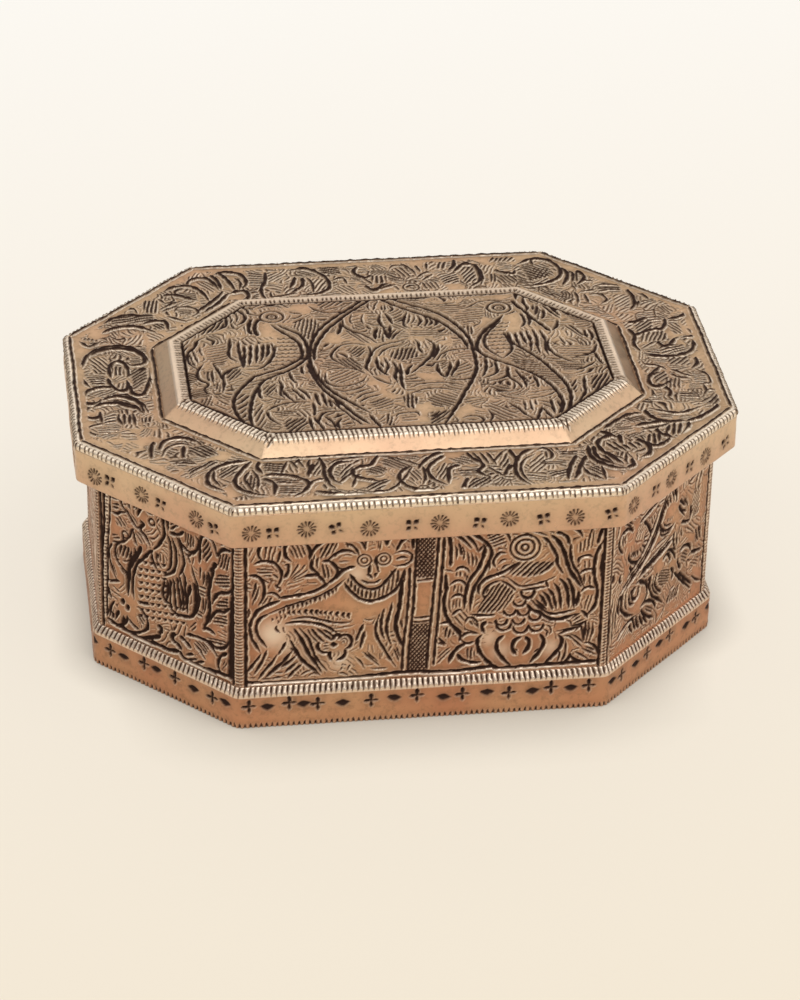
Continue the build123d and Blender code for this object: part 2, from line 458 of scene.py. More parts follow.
    def patches(self, seed, spacing, plain):
        """Leaf-like patches: the cells nearest to one of a grid of moved centres, bent by slow noise.

        Gives each cell's gap to its patch's border, its place across the patch's lines, and the patch's
        weight, which is nought for the share that stays plain. The border is where the two nearest
        centres are equally far.
        """
        rng = np.random.default_rng(seed)
        shape = self.depth.shape
        grain = PATCH_GRAIN / self.pitch
        bent = [1 + PATCH_BEND / spacing * smooth_noise(shape, grain, seed + k) for k in (0, 1)]
        x = self.pitch / spacing * np.arange(shape[1], dtype=np.float32)[None] + bent[0]
        y = self.pitch / spacing * np.arange(shape[0], dtype=np.float32)[:, None] + bent[1]
        table = (int(y.max()) + 3, int(x.max()) + 3)
        right, up = (0.15 + 0.7 * rng.random((2, *table))).astype(np.float32)
        turn = rng.random(table) * math.pi
        cosine, sine = np.cos(turn).astype(np.float32), np.sin(turn).astype(np.float32)
        weight = np.where(rng.random(table) < plain, 0, rng.uniform(0.7, 1.3, table)).astype(np.float32)
        nearest = np.full(shape, 9, np.float32)
        second, place, drawn = nearest.copy(), nearest.copy(), nearest.copy()
        for step in range(9):
            row, column = y.astype(int) + step // 3, x.astype(int) + step % 3
            dx, dy = x - (column - 1 + right[row, column]), y - (row - 1 + up[row, column])
            away = np.hypot(dx, dy)
            closer = away < nearest
            second = np.where(closer, nearest, np.minimum(second, away))
            across = dy * cosine[row, column] - dx * sine[row, column]
            place = np.where(closer, across * spacing, place)
            drawn = np.where(closer, weight[row, column], drawn)
            nearest = np.where(closer, away, nearest)
        return (second - nearest) * spacing / 2, place, drawn

    def ground(self, seed, spacing=5.0, pitch=1.2, width=0.78, plain=0.1, rim=0.75):
        """Hatches the metal that the drawing left empty with leaf-like patches of lines; some stay plain.

        A line lies where the place across the patch's lines over the pitch is whole, and a wider cut
        follows the patch's border.
        """
        border, place, drawn = self.patches(seed, spacing, plain)
        taken = blur(((self.depth > TAKEN_DEPTH) | self.kept).astype(np.float32), TAKEN_REACH / self.pitch)
        free = np.clip(1 - taken / TAKEN_SHARE, 0, 1)
        number = place / pitch
        line = np.round(number)
        fade = free * np.clip((border - PATCH_GAP) / PATCH_FADE, 0, 1)
        half = width / 2 * drawn * np.sqrt(fade) * (0.85 + 0.25 * np.sin(line * 12.9))
        self.carve(slice(None), slice(None), *self.groove(np.abs(number - line) * pitch, half))
        half = rim / 2 * free * np.clip(drawn - 0.75, 0, 0.5) * 2
        self.carve(slice(None), slice(None), *self.groove(border, half))

    def waver(self, seed, reach=0.09):
        """Moves every cell's cut a little, so that the edges of the strokes look cut by hand."""
        shape = self.depth.shape
        grain = WAVER_GRAIN / self.pitch
        right, up = (smooth_noise(shape, grain, seed + k) * reach / self.pitch for k in (5, 6))
        row = np.clip(np.rint(np.arange(shape[0])[:, None] + up), 0, shape[0] - 1).astype(int)
        column = np.clip(np.rint(np.arange(shape[1])[None] + right), 0, shape[1] - 1).astype(int)
        self.depth = self.depth[row, column] * (1 + 0.25 * smooth_noise(shape, 0.7 * grain, seed + 7))
        self.burr = self.burr[row, column]

    def finish(self, seed, uneven=0.07, sink=0.3, puff=0.5, polish_and_highlight=1.0):
        """Works out the height, the dark fill of the cuts and the worn, highlighted ridges from the depth.

        The metal sinks a little where it is cut often, rolls over towards each cut, and is slightly
        uneven from hammering. What stands above the metal around it is rubbed bright, and a painted
        highlight makes it brightest on the lower right bank of each cut, the bank that faces the light.
        """
        cell = self.pitch
        self.waver(seed)
        around = blur(self.depth, SINK_REACH / cell)
        hammer = smooth_noise(self.depth.shape, HAMMER_GRAIN / cell, seed)
        hammer += 0.4 * smooth_noise(self.depth.shape, SMALL_HAMMER_GRAIN / cell, seed + 1)
        relief = self.burr * np.clip(1 - self.depth / LIP_SUNK, 0, 1) - self.depth
        relief -= puff * blur(self.depth, ROLL_REACH / cell)
        self.height = np.maximum(relief + uneven * hammer - sink * around, THIN_METAL - SHEET)
        black = smooth_step((self.depth - BLACK_START) / BLACK_REACH)
        grime = np.clip(around / GRIME_DEPTH, 0, 1)
        worn_and_lit_crest = np.clip((relief - blur(relief, CREST_REACH / cell)) / CREST_HEIGHT - CREST_START, 0, 1)
        # Painted highlight: the lower right bank of each cut is brightened most, as if lit from the upper
        # left.
        up, right = np.gradient(blur(self.depth, BANK_REACH / cell), cell)
        worn_and_lit_crest *= np.clip(LIT_SHARE + LIT_SLOPE * (up - 0.5 * right), 0.1, 1)
        # The ridges' wear and painted highlight, scaled, joined with the painted bright patches.
        worn_and_lit_crest = np.maximum(polish_and_highlight * worn_and_lit_crest, self.wear_and_highlight)
        self.dirt = np.clip(black + GRIME_SHARE * grime * (1 - black) * (1 - worn_and_lit_crest), 0, 1)
        # rub holds the ridges' bright wear together with their painted highlight, kept out of the black
        # fill.
        self.rub_and_highlight = worn_and_lit_crest * (1 - black)
        return self

    def read(self, x, y):
        """Height, dirt, and the ridges' wear with their painted highlight at any places, each from the four
        cells round the place.
        """
        column = np.clip((x - self.low[0]) / self.pitch, 0, self.depth.shape[1] - 1.001)
        row = np.clip((y - self.low[1]) / self.pitch, 0, self.depth.shape[0] - 1.001)
        c, r = column.astype(int), row.astype(int)
        fx, fy = column - c, row - r
        values = []
        for field in (self.height, self.dirt, self.rub_and_highlight):
            near = field[r, c] * (1 - fx) + field[r, c + 1] * fx
            far = field[r + 1, c] * (1 - fx) + field[r + 1, c + 1] * fx
            values.append(near * (1 - fy) + far * fy)
        return values


def places(stroke):
    """The places of a stroke: right,down pairs parted by blanks, or a list of pairs as it is."""
    if isinstance(stroke, str):
        return [tuple(float(number) for number in pair.split(",")) for pair in stroke.split()]
    return stroke


class Drawing:
    """A sheet of paper laid over a plate: places run right and down from the paper's top left corner.

    along and down are the plate's directions for the paper's right and down; per_mm is the paper's scale,
    and weight is the strength of the hand that follows its lines.
    """

    def __init__(self, plate, left, top, per_mm, along=(1, 0), down=(0, -1), weight=1.0):
        self.plate = plate
        self.weight = weight
        self.corner = np.array([left, top], float)
        self.per_mm = per_mm
        self.along = np.array(along, float) / per_mm
        self.down = np.array(down, float) / per_mm

    def at(self, stroke):
        """Paper places turned into places on the plate."""
        p = np.atleast_2d(np.asarray(places(stroke), float))
        return self.corner + p[:, :1] * self.along + p[:, 1:] * self.down

    def turned(self, angle):
        """A hatching angle on the paper, anticlockwise from right, turned into the plate's."""
        tilt = math.radians(angle)
        line = self.along * math.cos(tilt) - self.down * math.sin(tilt)
        return math.degrees(math.atan2(line[1], line[0]))

    def cuts(self, width, *strokes, **how):
        """Several strokes of one width."""
        for stroke in strokes:
            self.plate.cut(self.at(stroke), width * self.weight, **how)

    def keep(self, *outlines):
        """Areas that the ground's hatching leaves plain."""
        for outline in outlines:
            self.plate.keep(self.at(outline))

    def paint_wear_and_highlight(self, outline, share):
        """Marks the metal inside an outline as worn bright, with a painted highlight."""
        self.plate.paint_wear_and_highlight(self.at(outline), share=share)

    def polish_and_highlight(self, centres, reach, share=0.6):
        """Polished spots with painted highlights; reach in millimetres."""
        for centre in self.at(centres):
            self.plate.polish_and_highlight(centre, reach, share)

    def draw(self, parts):
        """Draws several parts of a picture in turn."""
        for part in parts:
            part(self)

    def block(self, outline, angle=0, fan=None, **hatch):
        """Hatching inside a straight-sided outline that has no cut round it."""
        if fan is not None:
            self.plate.fill(self.at(outline), fan=self.at(fan)[0], **hatch)
        else:
            self.plate.fill(self.at(outline), angle=self.turned(angle), **hatch)

    def leaves(self, width, *blocks):
        """Several hatched blocks, each an outline, an angle and a pitch in millimetres."""
        for outline, angle, pitch in blocks:
            self.block(outline, angle, pitch=pitch, width=width, margin=0.15)

    def ticks(self, stroke, pitch, reach, **how):
        """Short strokes along a curve; reach and pitch in millimetres."""
        self.plate.ticks(self.at(stroke), pitch, reach, **how)

    def rings(self, centre, radii, width=0.6):
        """Rings about a place, their radii in paper units."""
        self.plate.rings(self.at([centre])[0], [r / self.per_mm for r in radii], width)

    def cups(self, centres, radius, width=0.55):
        """Scales: the lower half of a ring about each centre."""
        turn = np.linspace(math.radians(-200), math.radians(20), 9)
        for cx, cy in places(centres):
            arc = np.stack([cx + radius * np.cos(turn), cy - radius * np.sin(turn)], 1)
            self.plate.cut(self.at(arc), width, taper=(0.15, 0.15))


# The engraving of each piece. A stroke is a text of right,down places on a sheet of paper laid over the
# panel, in the paper's own small unit. Each paper has a left edge and a top on the plate, in millimetres,
# and a number of its units to a millimetre.

FRONT_PAPER = (-49, 62, 16)


def front_beast(paper):
    """The grinning beast: face, back, haunch and legs."""
    paper.keep(
        "190,384 310,355 390,311 460,250 520,170 640,170 700,230 690,345 672,505 640,560 600,470 500,500 "
        "300,440 130,480 95,540 130,620 200,560 240,500 76,470 80,440", "60,420 200,420 200,640 60,640")
    # Polished spots on the beast, painted as highlights.
    paper.polish_and_highlight("160,545", 7.0, 0.8)
    paper.polish_and_highlight("215,600 440,700 502,278", 5.0, 0.6)
    paper.polish_and_highlight("80,112 300,640", 4.0, 0.35)
    paper.rings((534, 213), (28, 13), 0.65)
    paper.rings((614, 211), (28, 13), 0.65)
    # Face: nose, mouth and jaw.
    paper.cuts(
        0.85, "560,232 556,258 551,285", "583,190 581,220 588,250 594,276", "592,274 581,284 577,300",
        "543,281 559,289 568,308")
    paper.cuts(0.75, "520,305 545,320 580,322 605,303")
    jaw_in = "472,270 490,300 512,330 540,350 575,356 605,343 632,310 652,280 668,256"
    jaw_out = "452,308 463,336 490,371 520,399 556,412 600,404 640,384 675,350 691,310 698,268"
    paper.cuts(0.95, jaw_in, jaw_out, taper=(0.12, 0.12))
    paper.block([*places(jaw_in), *places(jaw_out)[::-1]], pitch=1.05, angle=84, width=0.62, margin=0.2)
    paper.cuts(0.6, "640,262 652,285 655,330", "668,262 676,290 674,330")
    # Ears, brow and forelock.
    paper.cuts(
        0.75, "452,130 480,135 504,163 512,190", "402,205 428,243 452,250 500,236",
        "648,190 680,180 710,182 730,201 727,226 700,245 665,246 643,236",
        "458,100 500,106 526,130 536,163", "549,98 538,130 538,165", "606,102 621,128 625,150",
        "648,102 633,122 625,150")
    paper.cuts(
        0.95, "410,190 430,166 458,161 482,166 502,180", "737,99 703,114 681,140 664,178",
        "732,112 735,142 731,172")
    paper.cuts(0.5, "422,213 450,211 482,211", "440,185 462,180 488,186")
    paper.cuts(0.75, "660,214 690,208 716,213")
    paper.cuts(
        0.45, "556,100 557,134", "566,99 565,140", "583,99 586,142", "592,112 590,166",
        "600,98 601,130 596,172", "574,98 575,120")
    # Back and spine.
    paper.cuts(
        1.05, "76,466 95,430 140,404 190,384", "182,374 248,366 310,355 352,338 390,311",
        "386,314 415,290 440,263 468,247 498,238", taper=(0.15, 0.15))
    paper.cuts(0.8, "126,452 175,432 240,409 300,392 350,374 400,346 430,322 462,292")
    paper.ticks(
        "196,430 250,410 310,393 360,373 402,348 428,330", 1.2, 1.6, tilt=-128, width=0.78, bend=-0.15)
    paper.ticks("232,432 300,432 380,442 440,455 486,464", 1.4, 1.9, tilt=-82, width=0.85, bend=-0.3)
    paper.cuts(
        0.55, "168,452 176,466 170,480", "186,452 194,468 186,488", "204,446 211,462 203,480",
        "176,474 184,488 176,500", "203,508 202,530 212,545", "150,462 158,474 152,486")
    paper.cuts(0.8, "178,503 171,522 188,541", "228,478 300,474 350,489 400,505 445,511 480,508 490,494")
    paper.cuts(0.95, "208,498 270,495 330,506 380,526 420,556 432,578", taper=(0.2, 0.3))
    paper.cuts(0.45, "404,540 450,531 480,529 506,519", "396,556 430,552 460,556")
    # Haunch and hind legs.
    paper.cuts(
        0.9, "100,430 74,468 65,518 74,566 94,608 112,640",
        "142,446 106,468 91,502 94,540 112,578 138,616", taper=(0.1, 0.25))
    paper.cuts(
        0.85, "48,737 84,682 114,640", "76,746 110,690 129,642 137,622", "94,772 130,720 158,684 177,646",
        "180,650 200,618 213,586", "190,717 225,690 256,660", "204,746 236,714 264,690",
        "218,772 246,738 280,704")
    paper.cuts(
        1.1, "128,762 165,724 200,690 236,638", "230,578 256,640 281,686 330,736 357,766",
        "244,522 280,588 305,650 334,700 362,752")
    paper.cuts(
        0.85, "264,518 304,578 325,640 346,690 388,748", "318,528 345,574 372,602",
        "338,530 372,566 405,597", "366,540 392,560 418,584")
    paper.cuts(
        0.6, "300,524 318,566 348,604", "37,702 50,652 47,610", "228,616 241,632 236,648",
        "108,768 160,766 205,760", "270,762 298,742 322,738", "300,768 330,752 346,764")
    # Flower under the belly.
    paper.cuts(
        1.0, "396,617 426,617", "410,602 410,633", "428,592 450,573 476,580 487,606 476,634 458,642",
        "404,696 394,668 400,648", "456,640 461,662 446,686 420,696", "352,598 344,625 360,650 392,656",
        "404,596 420,574 446,570", taper=(0.15, 0.25))
    paper.cuts(
        0.45, "437,600 455,588 469,602 464,622", "440,610 452,602 459,616", "410,648 416,664 408,682",
        "428,645 433,663 424,682", "364,610 394,604", "362,622 392,620", "366,635 394,632")
    # Front legs and the ground.
    paper.cuts(1.15, "690,290 690,345 686,400 680,460 672,505 668,545 680,596 704,660", taper=(0.15, 0.2))
    paper.cuts(
        0.9, "650,420 648,452 639,490 632,530 632,572 650,636",
        "602,472 591,518 585,556 595,601 620,651 646,702 674,747",
        "620,448 612,490 608,530 612,576 624,608", "536,522 520,560 502,607", "541,556 530,600 521,644")
    paper.cuts(
        0.65, "661,652 674,684 685,718", "672,642 690,702", "526,655 560,690 606,736",
        "498,680 525,712 546,750", "546,655 570,688 600,716", "482,718 466,752", "452,724 438,746",
        "560,744 600,750 640,746", "700,262 702,300 700,330")


def front_leaves(paper):
    """The hatched leaves round the beast's back, and its star of rays."""
    paper.cuts(
        0.95, "152,98 118,106 101,140 104,168 118,196", "150,99 180,106 194,130",
        "80,202 120,190 160,200 185,226 196,256 190,290 172,322",
        "58,256 95,262 118,290 125,330 118,372 98,404", "232,98 212,120 208,155 215,180 238,200",
        "274,99 300,125 312,160 304,188", "308,198 320,160 345,125 378,105 412,98 444,104",
        "358,205 390,210 416,235 425,262 414,292 384,312", "318,190 318,236 344,264 352,290",
        "284,276 330,270 356,285 378,322", "225,212 222,248 204,280", taper=(0.15, 0.3))
    paper.cuts(
        0.8, "442,158 402,184 376,216", "128,348 152,345 175,355 196,382", "168,300 178,320 200,326",
        "190,140 184,180 176,204", "205,214 232,214")
    paper.cuts(
        0.6, "176,345 200,328", "331,170 324,205 320,240", "346,180 340,212 340,244",
        "450,108 462,128 466,150", "64,262 100,268 148,300", "60,410 62,440 52,470")
    paper.block("112,112 150,103 188,122 186,165 178,205 158,204 113,184", pitch=1.1, angle=81, width=0.6)
    paper.block("80,207 150,205 172,232 160,292 84,256", pitch=1.0, angle=-6, width=0.55)
    paper.block("64,272 95,275 116,310 115,360 76,418 58,400", pitch=1.0, angle=73, width=0.6)
    paper.block("120,362 152,352 186,380 130,406 94,408", pitch=0.95, angle=56, width=0.55)
    paper.block(
        "245,198 302,214 312,262 290,292 232,300 222,272", pitch=1.0, fan=(214, 304), width=0.5, margin=0.1)
    paper.block("222,106 276,103 306,160 292,192 250,196 214,160", pitch=1.0, angle=113, width=0.6)
    paper.block("345,136 375,111 428,104 442,140 400,186 352,206 330,190", pitch=1.05, angle=66, width=0.6)
    paper.block("344,200 386,214 413,250 405,290 384,306 358,290 338,240", pitch=1.0, angle=99, width=0.6)
    paper.block("256,300 330,285 364,310 350,332 258,332", pitch=0.85, angle=2, width=0.45)


def front_strip(paper):
    """The latticed strip between the two panels, with its plain middle."""
    paper.keep("750,322 822,320 814,507 740,510")
    paper.cuts(
        0.85, "722,256 722,330 718,450 712,530 705,600 700,680 698,772",
        "751,96 748,200 744,320 740,450 733,560 728,640 722,772",
        "838,96 836,200 830,300 822,400 818,480 812,560 806,650 802,772",
        "862,96 860,200 855,300 850,400 846,480 842,560 835,650 830,752", taper=(0.03, 0.03))
    paper.cuts(0.7, "748,325 824,321", "740,508 815,505", "738,529 812,527", taper=(0.1, 0.1))
    for lattice in ("753,90 828,90 822,314 748,316", "736,538 808,536 800,775 724,775"):
        paper.block(lattice, pitch=0.84, angle=52, width=0.72, margin=-0.3)
        paper.block(lattice, pitch=0.84, angle=128, width=0.5, margin=-0.3)


def front_bird(paper):
    """The round-eyed bird over its vase: head, collar, wings and breast scales."""
    paper.keep(
        "1060,640 1180,610 1310,600 1340,700 1280,778 1080,778 1030,700",
        "960,130 1050,180 1040,260 960,420")
    # Polished spots on the vase, painted as highlights.
    paper.polish_and_highlight("1056,625 1110,695 1320,690", 4.5, 0.5)
    paper.rings((1197, 193), (61, 38, 14), 0.85)
    paper.block(
        "1150,268 1200,257 1336,262 1326,300 1290,334 1215,346 1124,326", pitch=1.12, angle=47, width=0.7,
        margin=0.1)
    paper.cuts(
        1.0, "1178,262 1140,290 1105,310 1065,325 1036,338 1015,365 1008,395 1016,412",
        "878,112 888,150 892,200 889,266",
        "1020,165 1031,184 1026,225 1002,290 976,330 962,372 955,420 952,482",
        "950,98 990,120 1030,154 1056,190 1061,212 1050,254 1026,310 1000,360 985,400 979,444 977,494",
        taper=(0.08, 0.15))
    paper.cuts(
        0.85, "880,98 915,118 950,151 978,186", "924,98 960,130 990,165 1003,202",
        "920,150 930,182 936,220", "1124,213 1095,212 1078,230 1067,258 1080,288",
        "1026,172 1010,192 1004,206", "1183,400 1240,398 1292,390", "1098,345 1138,374 1168,402")
    paper.cuts(
        0.6, "904,158 915,190 912,238", "936,168 946,205 941,240", "955,188 963,222 966,268",
        "974,196 982,238 980,278", "992,214 998,248 994,274", "864,280 890,284 906,292",
        "1132,245 1105,248 1084,270", "1142,270 1116,276 1098,298", "1040,245 1054,268 1048,300")
    paper.cuts(
        0.75, "1124,329 1150,355 1182,380 1232,378 1290,362 1334,338", "1292,362 1299,397",
        "1075,99 1110,114 1131,140 1135,165", "1132,126 1136,101 1156,96")
    paper.block(
        "1012,110 1075,97 1116,120 1132,162 1124,182 1066,200 1048,174", pitch=0.95, angle=19, width=0.55)
    paper.cuts(
        0.65, "1158,98 1200,122 1216,132", "1192,93 1240,118 1292,142", "1216,90 1262,118",
        "1242,86 1292,118", "1258,84 1306,112", "1310,88 1334,118")
    # Nape and the long lines behind the head.
    paper.cuts(
        0.9, "1265,145 1290,166 1311,202 1330,240 1333,276 1346,306 1364,334",
        "1322,130 1346,134 1371,156 1384,196", "1388,188 1388,240 1400,291 1425,341 1441,381 1453,406",
        "1358,110 1390,107 1421,130 1437,160", taper=(0.12, 0.2))
    paper.cuts(
        1.15, "1300,140 1330,166 1351,202 1366,242 1379,291 1396,332 1420,371 1440,402", taper=(0.1, 0.15))
    paper.cuts(
        0.65, "1400,112 1442,84", "1354,108 1398,84", "1440,118 1490,86",
        "1466,172 1470,132 1490,101 1512,92")
    paper.block(
        "1402,188 1440,162 1470,124 1492,108 1492,204 1470,232 1406,242", pitch=1.0, angle=86, width=0.6)
    paper.cuts(
        1.0, "1532,92 1515,130 1505,165 1498,196",
        "1521,188 1500,230 1492,272 1490,330 1498,382 1508,420 1508,462 1498,503 1466,548",
        "1541,208 1526,260 1520,304 1525,352 1538,380",
        "1556,96 1554,300 1546,400 1540,500 1530,600 1526,765", taper=(0.1, 0.15))
    # Right feathers, wing and its long lines.
    paper.cuts(
        0.85, "1421,288 1425,260 1446,250 1470,250 1486,262",
        "1428,342 1440,325 1465,315 1486,325 1497,342", "1438,428 1450,410 1475,403 1498,414",
        "1546,112 1535,160 1517,200")
    paper.cuts(
        0.6, "1448,268 1450,312", "1467,266 1469,312", "1450,334 1450,388", "1471,342 1476,398",
        "1432,350 1442,382")
    paper.block("1444,440 1502,428 1500,482 1470,540 1442,512", pitch=0.95, angle=80, width=0.55)
    paper.cuts(
        0.95, "1320,370 1340,400 1352,441 1358,508", "1298,396 1320,431 1332,471 1338,508",
        "1274,408 1300,441 1315,481 1323,508", "1262,424 1284,456 1298,494", "1248,448 1274,481 1302,508")
    paper.cuts(
        1.1, "1345,350 1370,385 1385,431 1390,505", "1376,350 1396,390 1407,430 1414,506",
        "1430,420 1430,446 1421,496")
    paper.cuts(
        0.9, "1226,446 1265,490 1310,525 1350,526 1400,517 1424,509", "1440,515 1461,535 1474,560",
        "1400,592 1440,590 1474,568", "1348,632 1400,611 1446,598")
    paper.cuts(1.1, "1210,466 1235,500 1270,520 1310,549 1350,556 1390,547 1428,533", taper=(0.15, 0.2))
    paper.cuts(
        0.6, "1404,571 1446,544", "1410,586 1462,560", "1400,560 1442,530", "1376,562 1400,570 1406,592",
        "1334,613 1372,611 1412,600", "1298,579 1318,595 1320,611 1311,632", "1284,600 1304,612 1300,640")


def front_vase(paper):
    """Left wing and feathers, breast scales, the ribbed vase and the corner leaves."""
    paper.cuts(0.95, "1100,348 1068,358 1042,382 1030,412 1040,440", "972,503 1010,514 1060,516 1084,512")
    paper.block(
        "1040,385 1098,352 1162,400 1160,440 1120,490 1070,508 988,505 1020,440", pitch=1.0, angle=58,
        width=0.72, margin=0.0, bow=-0.012)
    paper.cuts(
        0.85, "908,292 920,278 940,272 960,282 972,302", "888,358 905,342 925,335 946,345 960,368",
        "893,428 905,412 925,405 945,415 950,434", "900,508 915,490 935,480 948,492",
        "955,552 965,528 985,524 1006,545 1013,576")
    paper.cuts(
        0.55, "918,290 915,318", "931,288 932,322", "950,294 953,328", "962,308 958,342",
        "912,352 904,392", "925,356 922,402", "938,360 939,400", "908,422 905,472", "920,420 920,472",
        "933,422 933,470", "910,508 950,562", "925,494 962,546", "940,484 976,530", "974,534 992,562",
        "986,536 1012,574", "956,556 960,578 1016,600")
    paper.cuts(
        1.05, "872,300 874,380 867,440 878,505 900,550 930,580 952,600", "893,548 925,585 941,612 934,638",
        "928,698 945,725 975,742 1005,749 1032,745", "962,650 924,674 902,712 893,744", taper=(0.1, 0.2))
    paper.cuts(
        0.8, "848,546 880,540 902,552", "848,608 864,634 884,648", "948,600 985,598 1017,602",
        "944,622 956,605 978,599", "938,624 966,650 1002,640", "846,640 880,652")
    paper.block("852,556 886,549 920,580 926,602 882,638 858,610", pitch=0.95, angle=79, width=0.6)
    paper.block("838,682 880,652 916,656 905,692 870,748 834,754", pitch=0.9, angle=47, width=0.55)
    paper.block("948,664 1000,656 1014,700 1005,744 965,736 948,700", pitch=0.95, angle=91, width=0.6)
    paper.cuts(1.0, "1190,400 1192,425 1215,443 1240,425 1243,402", taper=(0.1, 0.1))
    paper.cups("1183,455 1143,498 1201,503 1181,545 1250,530 1109,545", 25, 0.8)
    paper.cups("1120,565 1192,583 1257,578", 31, 0.8)
    paper.cuts(
        1.1, "1046,544 1030,566 1034,590 1042,604",
        "1032,608 1015,630 1012,660 1020,691 1045,731 1076,765 1104,778",
        "1124,618 1099,640 1093,671 1100,702 1130,746 1158,778",
        "1198,631 1171,646 1160,676 1165,701 1180,722", "1212,633 1230,656 1225,691 1203,720",
        "1273,622 1290,650 1292,671 1281,702 1268,724 1234,768",
        "1349,632 1368,655 1365,691 1345,721 1298,778", taper=(0.15, 0.2))
    paper.cuts(
        0.7, "1383,658 1386,700 1382,741 1368,778", "1350,706 1362,730 1352,770",
        "1368,638 1402,645 1431,676 1464,708", "1400,630 1430,650 1462,682",
        "1418,622 1446,600 1455,640 1459,674", "1480,570 1480,620 1470,678", "1496,574 1496,630 1482,682",
        "1420,718 1460,745 1488,768", "1450,704 1490,729 1522,746", "1470,699 1512,724",
        "1172,688 1184,704", "1250,717 1276,694", "1258,728 1287,704")
    paper.cuts(
        0.95, "1467,568 1465,620 1459,674", "1460,680 1490,685 1515,710 1526,750",
        "1404,724 1410,746 1430,765 1458,771", "1405,730 1400,756 1376,778")
    paper.cuts(
        1.15, "40,768 76,786 250,790 480,788 700,776 900,786 1080,772 1100,785 1300,780 1534,776",
        taper=(0.02, 0.02))


FRONT_PARTS = (front_beast, front_leaves, front_strip, front_bird, front_vase)


def front_drawing(plate):
    """The front: a beast among leaves, a latticed strip, and a bird over a vase."""
    Drawing(plate, *FRONT_PAPER).draw(FRONT_PARTS)


CROWN_PAPER = (-60, 38, 13)
SCALE_STEP = 21


def breast_scales(paper, rows, radius=9.5):
    """Rows of small ring-like scales: each row gives its height and its first and last place."""
    for row, (y, first, last) in enumerate(rows):
        start = first + (row % 2) * SCALE_STEP / 2
        paper.keep([(first - 16, y - 16), (last + 12, y - 16), (last + 12, y + 16), (first - 16, y + 16)])
        paper.cups([(x, y) for x in np.arange(start, last, SCALE_STEP)], radius, 0.55)


def left_peacock(paper):
    """The peacock on the left: eye, neck, scaled breast, wing and trailing tail."""
    paper.keep("330,190 375,200 400,245 385,285 325,280")
    paper.rings((383, 141), (41, 17), 0.95)
    paper.rings((383, 141), (5,), 0.5)
    paper.cuts(
        0.85, "318,76 345,52 383,38 420,50 452,84", "338,80 368,62 402,60 428,84",
        "272,42 300,76 305,108 325,124 345,126", "308,62 322,82", "446,114 470,124 492,130",
        "446,162 472,154 494,137", "450,196 476,174 496,158")
    paper.cuts(
        1.15, "340,150 322,182 315,222 322,276", "310,148 298,190 296,232 304,262",
        "374,196 402,243 436,292 457,332 463,376 463,415 452,448 424,474 390,505 330,535 282,560 246,610 "
        "215,660 198,710 195,762 204,822 226,876 252,926",
        "396,200 432,238 465,272 481,316 486,370 480,425 462,462 440,492 400,530 350,560 308,592 284,642 "
        "264,692 252,752 243,812 243,872 250,908", taper=(0.06, 0.08))
    breast_scales(paper, [(300, 398, 440), (326, 385, 450), (352, 385, 455), (378, 385, 458),
                          (404, 385, 455), (430, 370, 450), (456, 358, 440), (482, 345, 405)])
    paper.cuts(
        1.0, "268,340 262,400 257,450 255,492", "291,333 284,390 278,440 271,484",
        "313,333 305,400 297,472", "335,333 326,400 315,456", "352,333 346,390 334,432",
        "362,328 369,370 362,412 345,456 322,490 298,508 255,510", "252,300 246,360 248,430 250,500",
        taper=(0.15, 0.35))
    paper.block(
        "208,668 262,668 250,740 238,800 240,868 212,850 196,760", pitch=1.7, angle=48, width=0.75,
        margin=0)
    paper.block(
        "262,590 330,545 420,500 430,506 330,578 262,650 224,690 232,650", pitch=1.35, angle=20, width=0.5,
        margin=0)


